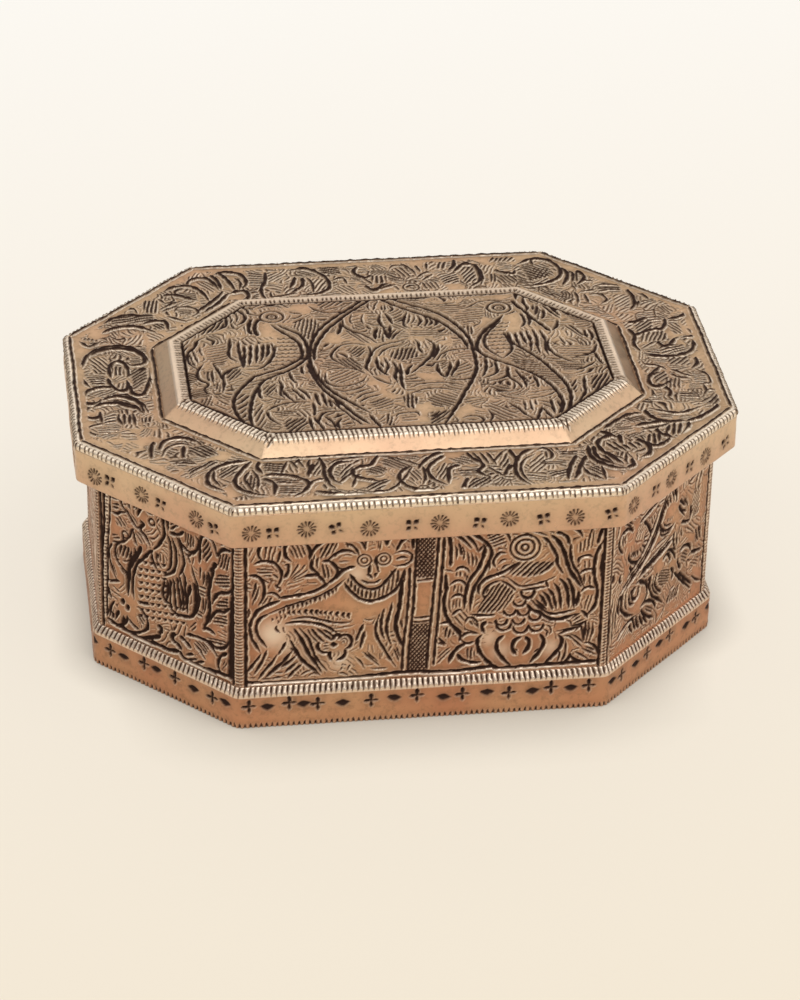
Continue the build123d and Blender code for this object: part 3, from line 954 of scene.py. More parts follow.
def left_leaves(paper):
    """The hatched leaves that fill the ground round the left peacock."""
    paper.cuts(
        1.0, "246,58 228,100 222,150 214,192 178,228",
        "140,264 108,288 96,330 70,372 65,420 76,462 98,492", "222,278 218,330 209,382 213,420 238,454",
        "116,454 96,490 88,530 100,570 122,594 106,622 110,650 134,674",
        "148,452 164,510 175,580 170,630 164,662", "246,60 276,90 290,130 280,170 252,197",
        "246,478 205,500 180,530 174,572", "362,588 369,630 360,682 372,722", "404,534 408,582 422,622",
        "452,500 448,530 452,560", "300,800 330,770 370,750 412,745 452,752", "300,800 310,850 340,896",
        "292,640 288,682 294,716", "368,655 385,710 402,742", "400,650 425,700 441,742",
        "420,650 446,690 456,732", "462,752 463,800 457,846", "455,850 470,900 482,942",
        "440,850 441,900 446,942", "476,688 480,740 486,782", "500,688 505,750 510,792", "520,735 523,792",
        "540,728 549,802", "490,850 515,890 521,942", "466,884 484,836 510,820 556,826",
        "548,868 530,900 536,947", taper=(0.2, 0.35))
    paper.cuts(
        0.7, "244,80 262,120 255,174", "230,100 241,140 234,178", "292,130 270,187",
        "86,352 92,400 99,452", "74,376 78,420 86,472", "114,330 112,370 120,402", "140,700 182,748",
        "128,735 172,778", "135,770 192,834", "428,30 450,45 490,40 522,14", "310,690 340,716 380,730")
    paper.leaves(
        0.68, ("108,196 170,128 216,108 222,196 170,238 116,254", 62, 1.05),
        ("140,330 206,318 210,420 190,484 150,472 124,420", 14, 1.25),
        ("104,500 150,492 160,570 140,592 108,572", 86, 1.1),
        ("128,600 168,566 170,650 150,668", 78, 0.95),
        ("185,498 246,488 246,540 200,592 178,560", 56, 1.0),
        ("36,488 90,508 100,572 60,604 32,584", -35, 1.0), ("40,640 120,612 128,690 60,700", 18, 0.95),
        ("74,702 136,668 126,748 90,742", 72, 0.95),
        ("250,780 298,730 296,800 300,880 272,946 252,880", 66, 1.2),
        ("296,640 352,590 356,650 330,704 298,692", 55, 1.1),
        ("306,800 400,786 436,792 390,832 338,856", -14, 1.15),
        ("338,892 360,850 432,840 442,900 400,952 352,952", 48, 1.15),
        ("445,210 482,160 540,164 552,210 530,296 500,332 470,280", 78, 1.05),
        ("20,350 60,300 100,230 120,250 80,330 40,430", 62, 1.5),
        ("500,690 560,740 600,800 640,900 600,940 560,860 530,790", -62, 1.6),
        ("500,520 520,540 520,620 498,600", 84, 1.0))


def medallion(paper):
    """The pointed medallion between the peacocks and the leaves that grow in it."""
    paper.cuts(
        1.15,
        "736,4 705,52 668,98 625,140 590,178 560,215 530,265 508,322 492,390 484,460 488,522 500,582 "
        "518,642 546,702 580,752 616,802 652,852",
        "758,28 720,70 680,112 640,155 605,200 570,245 545,292 521,345 505,402 500,468",
        "802,14 836,60 882,98 926,130 966,166 1001,215 1026,265 1046,320 1058,380 1057,440 1056,500 "
        "1052,562 1034,622 1010,682 985,732 960,792 930,852 902,912 882,948",
        "776,40 816,86 861,130 906,170 946,202 981,250 1006,300 1026,346 1039,392 1040,440",
        "474,482 479,540 493,612 513,682 545,742 570,792 592,842 622,894 638,922", taper=(0.04, 0.1))
    paper.cuts(
        1.1, "766,158 757,200 764,245 778,262", "784,150 795,190 801,236", "746,248 733,290 727,342",
        "766,252 771,300 776,342", "792,238 786,280 779,332", "716,462 712,510 720,560 742,602",
        "766,498 776,550 763,602 766,652", "790,516 786,580 780,640 783,704", "832,528 813,560 804,604",
        "696,384 701,430 686,480 671,530 676,564",
        "900,348 926,390 921,430 906,470 880,510 850,552 818,594", "941,398 931,440 908,484",
        "964,518 960,560 946,600 938,630", "996,508 986,550 966,590 954,624",
        "921,528 915,570 924,610 938,636", "642,850 656,896 674,942", "620,198 616,240 598,294")
    paper.cuts(
        0.9, "700,452 716,410 750,380 800,362 842,345", "722,462 745,421 780,396 824,380",
        "692,380 650,364 610,366 585,386 566,420 560,452 590,500 612,532",
        "530,546 522,590 530,630 560,655 600,650 640,630 667,594",
        "530,546 560,530 600,530 641,546 667,582", "862,350 873,380 871,420 882,462",
        "632,178 628,220 645,260 681,292 711,332 732,374", "834,278 800,310 784,348",
        "864,148 846,200 842,250 862,276", "896,178 903,220 884,262", "916,180 926,216 911,267",
        "936,200 941,232 924,262", "956,206 956,242 944,268", "806,94 816,120 798,147",
        "740,470 749,520 739,560 727,592", "684,598 720,640 748,664", "935,472 970,446 1010,436 1052,442",
        "540,668 580,690 630,672 657,646", "608,752 640,716 694,700", "618,768 652,740 704,722",
        "608,712 640,690 668,680", "800,692 840,666 900,660 950,670 992,692",
        "800,730 850,700 910,700 962,726", "938,640 980,650 1020,640 1046,610",
        "948,916 975,898 1012,905 1021,930 985,946 954,936", "1046,858 1056,900 1040,942",
        "730,882 741,860 800,852 812,884", "815,226 841,200 856,166", "706,214 736,236 757,232",
        "706,236 722,267", "520,76 550,112 590,130 642,120")
    paper.cuts(
        0.65, "736,64 730,100 735,132", "771,58 755,92 745,132", "781,88 775,132", "791,88 788,132",
        "666,150 655,190 661,227", "706,150 696,190 701,232", "660,172 695,159", "658,196 695,182",
        "661,216 697,206", "711,150 750,156", "712,168 752,174", "712,192 754,196",
        "812,268 790,300 782,332", "725,498 734,547", "871,164 862,210 850,242", "886,174 880,210 864,242",
        "745,886 802,886", "740,906 806,906", "850,892 906,850", "865,906 908,870", "888,912 928,878",
        "958,920 1000,928", "560,116 600,101 642,90")
    paper.leaves(
        0.68, ("800,150 835,112 852,150 845,196 806,232", 42, 1.15),
        ("618,252 662,270 706,340 716,382 680,362 640,312", -62, 1.0),
        ("606,404 650,374 692,392 682,440 646,476", 48, 1.0),
        ("566,460 642,448 672,540 652,560 600,522", -62, 1.05),
        ("758,440 800,400 864,400 872,480 800,506 758,482", 72, 1.1),
        ("536,560 600,536 652,562 640,612 580,646 534,620", 34, 1.25),
        ("980,540 1030,516 1042,600 968,642", 28, 1.3),
        ("854,282 946,290 1000,340 900,346 846,330", -6, 1.2),
        ("636,764 700,730 742,762 730,822 668,836", 28, 1.2),
        ("762,742 800,704 832,762 802,842 766,822", 86, 1.1),
        ("842,762 900,722 962,764 940,836 862,836", -38, 1.2),
        ("690,850 722,842 726,940 684,938", 78, 1.0), ("842,850 936,840 880,940 830,940", 44, 1.1),
        ("730,282 760,262 772,352 744,376", 82, 1.0), ("536,52 620,8 700,10 640,78 560,108", 46, 1.25),
        ("838,8 930,6 960,60 906,86 858,66", -14, 1.2),
        ("930,86 1030,92 1080,122 1040,182 976,160", 2, 1.2), ("884,468 930,440 980,470 920,520", 60, 1.1))


def right_peacock(paper):
    """The peacock on the right, turned the other way, and its leaves."""
    paper.keep("1205,210 1255,200 1260,290 1190,320 1150,330 1195,260")
    paper.rings((1192, 151), (41, 20), 0.95)
    paper.rings((1193, 154), (7,), 0.6)
    paper.cuts(
        1.15,
        "1200,204 1164,255 1125,300 1098,345 1078,395 1072,436 1086,481 1121,521 1166,561 1216,606 "
        "1256,652 1283,706 1301,762 1308,822 1301,872 1288,908",
        "1196,332 1199,400 1228,450 1260,502 1291,562 1313,622 1333,682 1343,742 1341,802 1326,862 "
        "1304,918", "1246,98 1262,150 1281,190 1301,242 1330,302 1346,342", taper=(0.05, 0.08))
    paper.cuts(
        1.0, "1186,244 1150,290 1120,336 1105,381 1105,431 1126,481 1152,522",
        "1181,328 1191,390 1195,430 1185,470 1150,520", "1240,328 1245,380 1249,432",
        "1262,322 1267,390 1262,440 1254,482", "1285,316 1291,380 1285,440 1285,502",
        "1310,326 1319,400 1310,460 1313,514", "1222,338 1220,390 1226,442",
        "1262,198 1269,240 1262,280 1248,302", "1290,198 1286,250 1279,292",
        "1290,78 1285,120 1293,160 1284,192", "1262,16 1266,60 1261,100", "1346,178 1343,220 1329,252",
        "1350,148 1366,186 1381,220 1396,247", "1370,148 1386,190 1399,232", "1386,258 1376,300 1354,337",
        "1470,58 1478,100 1467,147", "1336,388 1320,430 1326,480 1346,522 1402,576",
        "1492,448 1470,500 1430,522 1398,532", "1466,338 1468,402", "1481,338 1489,380 1479,424",
        "1500,348 1521,400 1526,452", "1476,500 1480,550 1491,592", "1506,498 1511,562",
        "1412,656 1401,720 1396,770 1376,812 1358,842", "1388,622 1430,600 1467,568",
        "1270,808 1267,850 1268,912", "1290,818 1296,870 1279,912", "1120,820 1150,860 1166,900 1192,942",
        "1232,858 1216,900 1198,952", "1234,868 1246,910 1262,952", "1090,498 1086,550 1076,600 1058,642",
        "1120,528 1119,580 1110,616 1058,652", "1156,568 1150,620 1136,645 1078,672",
        "1160,578 1152,640 1181,700 1180,737", "1180,598 1201,680 1199,732", "1236,638 1243,690 1239,732",
        taper=(0.2, 0.35))
    paper.cuts(
        0.75, "1038,152 1070,146 1092,130 1121,105 1161,95 1226,106", "1201,762 1250,755 1292,745",
        "1224,796 1262,786 1292,764", "1228,818 1268,838", "1234,840 1267,872", "1176,808 1172,882",
        "1197,808 1195,892", "1215,808 1215,852", "1318,138 1309,184", "1332,148 1325,190 1313,217",
        "1090,720 1112,742 1162,746", "1098,760 1132,790 1162,800", "1370,380 1379,420 1386,442",
        "1100,862 1142,902", "1200,638 1216,692", "1536,58 1541,112", "1360,2 1386,52", "1410,2 1412,52",
        "1436,60 1442,102")
    breast_scales(paper, [(262, 1178, 1200), (288, 1160, 1195), (314, 1140, 1188), (340, 1118, 1185),
                          (366, 1118, 1190), (392, 1118, 1190), (418, 1118, 1188),
                          (444, 1122, 1182), (470, 1130, 1170)])
    paper.leaves(
        0.68, ("1160,514 1252,522 1300,600 1336,702 1304,722 1250,642 1180,562", -12, 1.15),
        ("1358,448 1472,450 1470,530 1400,562 1348,500", -3, 1.25),
        ("1400,168 1460,172 1500,312 1440,292 1404,212", 4, 1.2),
        ("1398,286 1442,300 1474,384 1450,404 1398,332", -64, 1.1),
        ("1310,530 1380,562 1440,582 1400,632 1340,622", -12, 1.05),
        ("1428,662 1506,636 1502,702 1430,792 1412,742", 62, 1.1),
        ("1344,704 1392,640 1386,702 1370,792 1348,772", 58, 1.05),
        ("1300,140 1342,150 1340,240 1310,260", 76, 1.1),
        ("1008,218 1062,160 1140,152 1132,222 1060,272", 8, 1.2),
        ("1290,10 1345,10 1352,110 1310,100", -68, 1.1), ("1410,60 1460,40 1462,120 1430,130", -76, 1.0),
        ("1062,700 1150,690 1150,740 1090,760", -30, 1.2),
        ("1046,800 1110,850 1150,930 1066,940 1050,880", -48, 1.2),
        ("1040,270 1078,262 1088,320 1058,360", 84, 1.0), ("1500,180 1528,260 1520,330 1500,280", 88, 1.0),
        ("1496,100 1530,90 1540,170 1510,180", 70, 1.1))


CHAMFER_PAPER = (-26.04, 60, 20)


def chamfer_bird(paper):
    """The parrot of the front's left corner: head, neck, scaled tail, wing and striped feather."""
    paper.rings((425, 181), (19,), 0.9)
    paper.cuts(
        1.25, "382,106 352,124 335,150 325,184",
        "345,192 352,208 368,216 346,244 350,266 380,286 396,312 412,330",
        "495,50 498,110 502,160 508,200 505,235 490,265 470,300 450,325 428,348",
        "430,352 400,376 384,396 350,440 320,470 305,500 295,530 285,572 281,620 285,680 293,712",
        taper=(0.06, 0.2))
    paper.cuts(
        1.7, "366,48 372,76 382,104",
        "348,358 330,400 310,430 290,466 270,500 258,532 252,580 249,640 251,702", taper=(0.1, 0.3))
    paper.cuts(
        0.9, "382,110 402,125 430,128 446,118", "408,106 440,110 470,86 482,54", "388,62 422,44",
        "392,95 430,70 452,52", "405,106 450,75 472,58")
    for row in range(9):
        for step in range(5 if row < 6 else 8):
            x, y = 312 + 42 * step + 8 * (row % 2), 452 + 42 * row - 11 * step
            if x < 500 or row > 5:
                paper.cuts(0.95, [(x, y), (x + 18, y + 9), (x + 38, y - 8)], taper=(0.2, 0.3))
    paper.cuts(
        1.15, "530,214 546,262 551,320 548,380 538,422 515,440",
        "560,218 576,270 586,330 579,390 560,432 500,478",
        "590,200 612,250 632,300 637,345 622,402 600,440", "420,368 420,400 438,440 462,458",
        "505,508 490,560 490,600 506,632 542,640", "520,488 525,540 520,590 510,624",
        "545,478 542,540 540,600 546,680", "563,468 570,530 575,600 580,672",
        "590,448 595,520 605,580 610,652", "605,438 618,500 625,560 630,642",
        "630,400 645,450 640,520 650,600 660,652", "540,662 580,682 640,672 690,652 706,620",
        taper=(0.15, 0.2))
    paper.cuts(
        1.5, "700,438 710,490 715,540 712,590 700,632 668,662", "682,458 670,500 660,540 651,600 660,642",
        "800,328 806,400 800,470 805,540 800,600 786,652 760,692", taper=(0.15, 0.2))
    paper.cuts(
        0.8, "450,345 450,390 465,420 492,440", "460,350 462,392", "475,345 480,402", "498,345 503,405",
        "750,318 745,402", "775,328 770,400 765,432", "790,348 785,432", "735,446 790,441",
        "735,470 790,472", "735,490 785,490", "746,500 735,582", "766,500 760,592", "786,494 770,602",
        "730,602 770,602", "720,622 765,623", "704,280 697,330", "668,292 682,332",
        "640,268 665,290 692,268")
    paper.cuts(1.1, "690,328 700,380 720,430 730,480 732,540 725,590 715,620 690,658")


def chamfer_lobes(paper):
    """The stacked hatched lobes beside the feather, and the crescents over and under it."""
    paper.cuts(
        1.2, "600,68 615,95 650,108 690,108 725,95 737,83", "555,68 535,95 530,140 536,192",
        "545,196 590,190 620,175 642,148",
        "610,198 615,225 640,250 680,265 710,250 730,220 741,180 718,142",
        "745,302 748,220 752,160 770,126 800,114 830,130 850,165 859,212",
        "840,298 825,350 815,400 809,442", "860,216 875,190 900,160 930,150 962,152",
        "962,378 930,410 880,430 850,460 830,500 821,524", "942,498 900,540 860,550 825,590 809,642",
        "758,702 790,685 820,688 852,702", "758,756 800,765 850,780 900,760 921,735 932,698",
        "648,782 680,770 740,765 780,768 820,790 862,832", "922,783 880,820 865,850 862,890 876,917",
        taper=(0.1, 0.25))
    paper.leaves(
        0.7, ("545,110 600,90 625,130 570,190 540,180", 38, 1.0),
        ("632,140 715,140 725,220 680,250 640,220", 87, 0.95),
        ("765,130 800,125 830,160 845,220 800,290 760,280 750,220", 60, 1.05),
        ("870,190 920,160 960,180 950,280 880,290 850,270", 76, 1.0),
        ("860,310 950,280 955,360 930,400 840,400 830,360", 18, 1.0),
        ("860,470 940,420 945,480 930,530 850,540 840,510", 16, 1.0),
        ("850,570 930,540 935,600 900,640 830,645 820,610", 14, 1.0),
        ("700,670 742,658 722,722 690,752 650,742", 48, 1.0),
        ("780,735 850,714 925,702 920,745 860,770 800,765", 8, 0.95),
        ("690,790 760,770 820,800 780,862 738,852", -38, 1.0),
        ("885,850 925,800 930,860 890,920 875,900", 62, 0.9),
        ("735,118 770,60 985,62 985,80 905,150 860,130 790,100", 42, 1.5))
    paper.cuts(
        1.5, "855,260 830,300 812,332", "450,808 472,815 475,835 460,850 466,866",
        "600,812 630,820 660,840 682,850", "582,808 555,820 549,845 565,862 587,855",
        "585,862 600,880 616,892", "470,864 430,890 380,916 330,940 290,950", taper=(0.15, 0.25))
    paper.cuts(
        1.0, "390,855 350,886 300,916 250,926 212,914", "420,900 395,926", "640,912 680,890 702,884",
        "650,942 700,914 722,904", "690,946 740,914 772,898", "700,952 770,944 852,945",
        "330,712 370,706 402,698", "700,808 782,882")
    paper.cuts(
        1.4, "95,904 150,920 250,930 350,950 430,930 520,930 600,906",
        "600,908 640,940 760,945 850,930 962,925", taper=(0.03, 0.03))


def chamfer_edge(paper):
    """The pearled edge on the left with its leaves, and the deep line on the right."""
    # The pearled edge is painted bright: worn metal with a painted highlight.
    paper.paint_wear_and_highlight("106,50 136,50 126,330 110,500 94,900 74,900 82,500 96,330", 0.85)
    paper.ticks("122,50 112,330 96,500 88,880", 1.15, 1.1, tilt=90, width=0.75, shift=-0.55)
    paper.cuts(1.2, "100,50 90,330 74,500 66,900", taper=(0.03, 0.03))
    paper.cuts(1.0, "140,48 136,200 125,330 112,450 108,620 98,780 96,902", taper=(0.03, 0.03))
    paper.cuts(1.8, "980,58 985,200 968,330 960,450 953,560 946,700 944,800 940,932", taper=(0.03, 0.03))
    paper.cuts(
        1.0, "150,136 175,128 205,122 215,110 220,150 252,192", "150,222 190,222 205,205 250,190",
        "250,165 262,190 300,236 332,262", "304,270 284,285 275,320 262,347",
        "290,275 300,310 310,345 326,367", "150,406 180,400 205,390 225,375 242,365 260,348",
        "228,330 222,350 225,372", "320,256 347,244", "215,400 200,440 198,472", "240,395 225,440 215,477",
        "262,395 250,440 240,477", "280,410 268,450 262,472",
        "205,395 180,410 165,450 168,490 185,505 202,500", "305,380 300,420 280,460 255,486 213,500",
        "152,414 128,450 120,480 125,520 140,570 160,615 176,637", "165,500 185,520 202,542",
        "190,520 215,545 235,570 240,602", "110,666 140,655 175,640 197,635", "262,118 272,145 282,162",
        "275,55 262,75 254,97", "300,55 282,80 269,107", "318,60 295,100 284,127",
        "335,65 315,110 299,147", "350,75 330,115 317,147", taper=(0.15, 0.3))
    paper.cuts(
        1.2, "110,700 115,740 136,767", "155,774 130,810 118,850 115,892", "185,820 165,860 154,892",
        "140,850 134,892", "215,840 208,880 199,907", "240,828 235,860 215,896 180,920 148,936",
        "305,748 325,745 350,765 370,790 381,820 376,850 355,880 328,896",
        "244,844 265,865 290,880 322,886")
    paper.cuts(1.6, "218,735 205,772", "250,760 238,797", taper=(0.5, 0.5))
    paper.cuts(
        0.6, "152,55 202,93", "170,52 212,83", "150,72 197,106", "260,170 310,210 332,236",
        "185,430 182,470 197,492", "120,530 130,560 147,592", "150,540 165,590 177,612", "200,545 227,582",
        "135,680 160,690 197,706", "120,700 140,715 202,731", "125,745 150,750 182,761")
    paper.rings((239, 330), (21,), 0.8)
    paper.leaves(
        0.65, ("150,150 205,130 215,170 205,205 150,215", 14, 1.0),
        ("160,250 215,215 260,240 262,280 210,300 175,300", -46, 1.1),
        ("300,280 340,265 390,320 370,345 330,350", -46, 1.1),
        ("135,350 190,335 215,350 210,385 150,395 135,380", 22, 1.0),
        ("300,800 340,760 375,800 365,850 320,860", -42, 1.0), ("345,130 370,128 350,190 332,186", 62, 1.0))


def chamfer_drawing(plate, mirror=1):
    """A corner side: a parrot among stacked lobes beside a pearled edge."""
    left, top, per_mm = CHAMFER_PAPER
    paper = Drawing(plate, mirror * left, top, per_mm, along=(mirror, 0), weight=0.88)
    paper.draw((chamfer_edge, chamfer_bird, chamfer_lobes))


def border_west(paper):
    """Border leaves at the front's left end."""
    paper.cuts(
        1.15, "200,908 215,870 250,858 285,874 302,898", "258,898 253,948", "192,868 183,900 181,942",
        "402,974 350,985 315,1010 300,1045 305,1080 337,1102",
        "407,978 380,1020 362,1060 368,1095 395,1120 432,1132", "425,984 418,1010 428,1038",
        "424,1058 450,1085 445,1132", "430,1044 480,1050 520,1075 527,1098 510,1126 488,1142",
        "548,1008 535,1040 530,1062", "550,968 565,990 570,1020 568,1060 575,1100 587,1117",
        taper=(0.12, 0.25))
    paper.cuts(
        0.85, "204,938 220,900 250,884 282,896", "320,1008 315,1050 330,1087",
        "405,1014 415,1060 410,1107", "400,1018 385,1060 400,1112", "490,984 480,1010 469,1042",
        "532,973 500,1002", "528,1102 540,1080 567,1074", "560,1094 566,1117", "494,984 510,1022",
        "510,984 526,1017", "545,974 535,1010 540,1052")
    paper.leaves(
        0.66, ("265,900 322,888 342,942 300,962 260,932", -46, 1.1),
        ("206,950 270,948 292,986 238,990", -8, 1.05),
        ("252,1002 322,958 342,982 290,1012 260,1044", 40, 1.1),
        ("340,1000 396,976 370,1032 330,1062 320,1030", 44, 1.1),
        ("395,1020 415,1050 415,1090 400,1110 380,1080", 78, 0.95),
        ("426,985 492,990 470,1042 430,1032", -14, 1.1), ("440,1050 522,1070 502,1096 455,1090", -6, 1.1),
        ("458,1090 522,1086 510,1120 490,1140 450,1126", -5, 1.05),
        ("528,1012 565,984 566,1052 540,1062", 64, 1.0))


def border_middle(paper):
    """Border leaves along the middle of a side."""
    paper.cuts(
        1.15, "632,1003 600,1010 582,1040 585,1080 602,1097",
        "702,978 690,1000 675,1025 650,1030 635,1045 635,1070 660,1085 702,1101",
        "772,1038 745,1060 735,1090 745,1120 765,1140 800,1145 822,1130",
        "852,984 820,1000 795,1030 784,1052", "852,998 820,1030 805,1060 810,1095 825,1115 842,1127",
        "882,1044 855,1060 850,1085 844,1122", "905,988 915,1020 935,1050 920,1075 925,1090 947,1107",
        "892,1103 880,1130 874,1157", "1004,988 1012,1020 1016,1037", "1002,1058 985,1080 977,1102",
        "1062,988 1030,1010 1010,1050 1005,1095 1015,1125 1032,1147",
        "538,1124 560,1135 600,1145 652,1145", taper=(0.12, 0.25))
    paper.cuts(
        0.85, "580,1012 600,995 630,990 660,985 702,970", "642,1048 620,1065 594,1097",
        "624,1117 640,1070 652,1059", "624,1120 660,1140 700,1140 730,1115 750,1085 772,1040",
        "796,1038 795,1090 784,1122", "702,984 740,1000 770,1020 790,1035 802,1018",
        "958,1042 985,1000 1002,984", "944,1058 965,1090 977,1102",
        "1062,1008 1030,1040 1018,1080 1025,1120 1042,1142", "918,988 935,1042", "935,988 949,1047",
        "950,988 966,1052")
    paper.leaves(
        0.66, ("598,1050 625,1004 642,1010 640,1042 600,1092", 54, 1.1),
        ("650,1040 700,1020 722,1046 700,1072 670,1066", -34, 1.05),
        ("700,1000 732,988 777,1040 740,1052 704,1030", -42, 1.05),
        ("650,1110 700,1084 732,1078 690,1140 648,1136", 34, 1.15),
        ("754,1060 786,1048 792,1100 760,1112", -70, 1.0), ("740,988 792,984 802,1010 770,1012", -20, 1.0),
        ("820,1060 850,1008 857,1060 840,1112 820,1092", 64, 1.05),
        ("854,1010 902,1000 922,1042 880,1046", -34, 1.05),
        ("864,1060 926,1060 932,1092 880,1102", -6, 1.05),
        ("878,1140 900,1100 947,1098 952,1130 890,1162", 42, 1.1),
        ("964,1050 990,988 1002,1000 1002,1062 980,1082", 64, 1.1),
        ("1040,1040 1082,998 1087,1060 1060,1102 1034,1090", 50, 1.15))


def border_east(paper):
    """Border leaves at the front's right end and over the slanting side beside it."""
    paper.cuts(
        1.25, "1156,1028 1140,1060 1125,1100 1119,1132", "1177,1034 1155,1080 1145,1110 1134,1132",
        "1262,950 1235,955 1215,975 1217,1010 1235,1038 1262,1052",
        "1305,970 1325,990 1331,1015 1322,1040 1300,1052",
        "1190,985 1187,1030 1200,1065 1230,1090 1262,1097", "1202,990 1200,1030 1212,1060 1240,1080",
        "1262,1097 1280,1083 1280,1055", "1270,948 1270,985", "1228,926 1250,945 1264,958",
        "1240,915 1285,875 1310,858 1342,850", "1350,838 1365,878 1395,900 1440,896",
        "1440,900 1480,882 1520,845 1537,818", "1362,930 1372,955 1395,970", "1315,909 1355,902 1397,893",
        "1325,985 1333,1000 1350,1005 1375,987 1387,970", "1445,905 1435,938 1418,956", taper=(0.12, 0.25))
    paper.cuts(
        0.95, "1235,975 1245,1000 1263,1022", "1250,972 1262,1000 1276,1022", "1270,988 1286,1016",
        "1285,980 1302,1012", "1300,978 1313,1002", "1215,1030 1235,1072", "1226,1030 1250,1072",
        "1240,1045 1258,1077", "1398,910 1381,955", "1411,905 1396,960", "1426,906 1410,956",
        "1342,948 1333,986", "1354,944 1346,998", "1366,940 1359,986", "1325,930 1370,920 1400,905",
        "1360,826 1400,850 1440,860 1492,830", "1063,996 1085,990 1100,1010 1095,1035 1073,1045",
        "1162,1077 1170,1110 1202,1142", "1205,1080 1205,1142", "1500,890 1522,864")
    paper.keep("1320,906 1395,897 1400,904 1330,930", "1250,1035 1290,1047 1318,1030 1300,1020 1262,1018")
    paper.leaves(
        0.66, ("1108,1000 1172,998 1162,1032 1120,1036", -3, 1.05),
        ("1060,1044 1132,1044 1132,1066 1070,1068", 0, 1.0),
        ("1164,1080 1206,1072 1206,1132 1180,1122", -48, 1.05),
        ("1068,1090 1132,1078 1122,1122 1080,1122", 20, 1.1),
        ("1290,868 1345,858 1356,892 1300,898", -38, 0.85),
        ("1266,904 1310,904 1312,928 1266,930", 2, 0.85), ("1275,942 1335,927 1340,942 1290,972", 34, 0.9),
        ("1370,850 1422,862 1410,886 1385,880", -16, 0.9))


def east_chamfer_stems(paper):
    """The long stems of the front right chamfer, its spiral and its three hatched seeds."""
    paper.cuts(
        1.15, "150,582 230,532 310,490 375,446 425,396 470,340 500,285 527,225 562,160 592,115",
        "205,578 255,546 332,506 396,464 446,412 492,354 522,300 547,240 578,182 604,142",
        "215,506 290,470 350,424 402,370 440,320 462,280 482,240 502,200",
        "330,560 420,540 500,520 570,500 652,466", "345,534 430,514 520,490 590,466 642,440",
        taper=(0.1, 0.2))
    paper.cuts(
        0.7, "182,560 242,528 322,490 386,446 436,396 482,340 512,286 538,226 570,166",
        "380,500 450,482 520,462 592,442", "430,452 520,432 602,426", "338,548 430,527 520,506 600,482")
    # Spiral.
    paper.cuts(
        1.2, "312,604 288,612 280,640 288,672 312,680 332,664 336,632 326,608",
        "340,598 388,618 420,656 426,700 402,742 372,764", "270,600 254,640 264,690 300,704",
        "200,570 184,620 186,680 202,712 244,752 300,776",
        "455,600 450,650 456,702 482,752 532,792 582,842", "165,590 155,650 166,712", taper=(0.12, 0.2))
    paper.cuts(
        0.9, "230,572 216,620 220,680 238,716", "482,620 476,670 492,722 540,772",
        "300,584 352,588 402,618", "430,600 440,640", "398,600 424,640 438,690")
    # Seeds.
    paper.cuts(
        1.2, "512,618 500,670 520,722 562,762", "640,650 666,682 664,712 648,738",
        "592,520 642,542 672,582 682,614", "556,560 590,546 620,560 630,590 612,606",
        "718,592 750,574 792,580 822,602 832,642", "832,642 872,660 936,672", "704,622 716,664 742,702",
        "360,760 402,750 462,770 502,802 512,842", "370,780 412,832 462,872 502,890", taper=(0.12, 0.2))
    paper.leaves(
        0.55, ("520,620 560,604 632,640 652,690 630,740 570,756 524,714 508,664", -22, 0.8),
        ("722,616 752,590 796,598 818,640 792,690 742,694", -34, 0.85),
        ("380,772 440,772 492,806 502,846 470,866 420,830", -36, 0.85))


def east_chamfer_leaves(paper):
    """The leaves and rays round the stems of the front right chamfer."""
    paper.cuts(
        1.2, "222,350 230,392 262,432 312,452 352,440", "350,220 392,262 422,312 432,352",
        "610,124 642,162 656,212 656,248", "518,320 534,362 570,388 622,392 652,368",
        "178,200 144,216 130,252 144,300 172,332", "152,206 202,200 242,216 252,238",
        "655,430 655,482 666,532 682,562", "690,250 722,282 752,312", "680,280 720,332 762,352",
        "720,400 762,422 802,432", "160,450 150,482 166,512", "236,440 262,482", "800,330 810,382 798,432",
        "300,800 332,884", "330,802 362,892", "360,806 402,892", "270,822 302,890", "402,832 442,902",
        "150,862 202,822 262,802 342,794", "682,700 742,770 802,832 852,884", "722,722 792,792 862,862",
        "310,210 402,182 472,164", taper=(0.15, 0.3))
    paper.cuts(
        0.85, "160,110 252,192", "200,100 272,172", "170,150 242,202", "230,90 290,162", "265,90 302,152",
        "352,320 402,300", "352,334 404,326", "350,350 402,362", "340,360 382,396", "320,366 346,412",
        "302,366 312,416", "286,366 292,412", "270,364 276,406", "256,360 256,402",
        "600,150 632,202 627,242", "586,170 606,232", "570,180 580,242", "556,200 560,252",
        "510,346 530,392 570,412 622,412", "546,330 572,356 622,366", "690,300 732,352 752,382",
        "732,260 762,302 772,332", "680,440 686,492 692,542", "702,420 702,472", "720,440 732,502",
        "860,510 882,562 892,602", "890,500 912,562 922,602", "162,220 166,292", "182,228 186,282",
        "872,120 842,200 832,282", "902,100 882,182 862,262", "115,80 118,160 102,222",
        "100,560 84,700 82,860", "118,600 108,720 104,860", "138,640 128,780", "620,862 642,802 692,780",
        "652,872 672,822 702,802", "702,872 712,822 742,802", "850,802 902,852 952,882")
    paper.leaves(
        0.55, ("305,186 360,156 470,126 476,150 380,176 312,200", 22, 0.85),
        ("290,240 350,230 372,290 310,300", 40, 0.9), ("810,240 892,230 896,430 812,440 802,330", 62, 0.9),
        ("822,692 922,702 916,764 830,752", -32, 0.9), ("560,306 642,316 634,350 572,344", 80, 0.8),
        ("600,800 742,790 748,880 604,884", 66, 0.95),
        ("160,866 212,826 282,808 292,880 170,890", 40, 0.95),
        ("850,512 930,500 934,610 862,612", -68, 0.95),
        ("400,90 520,84 560,120 500,150 420,150", -14, 0.95), ("640,88 900,84 880,130 700,140", -10, 1.1))


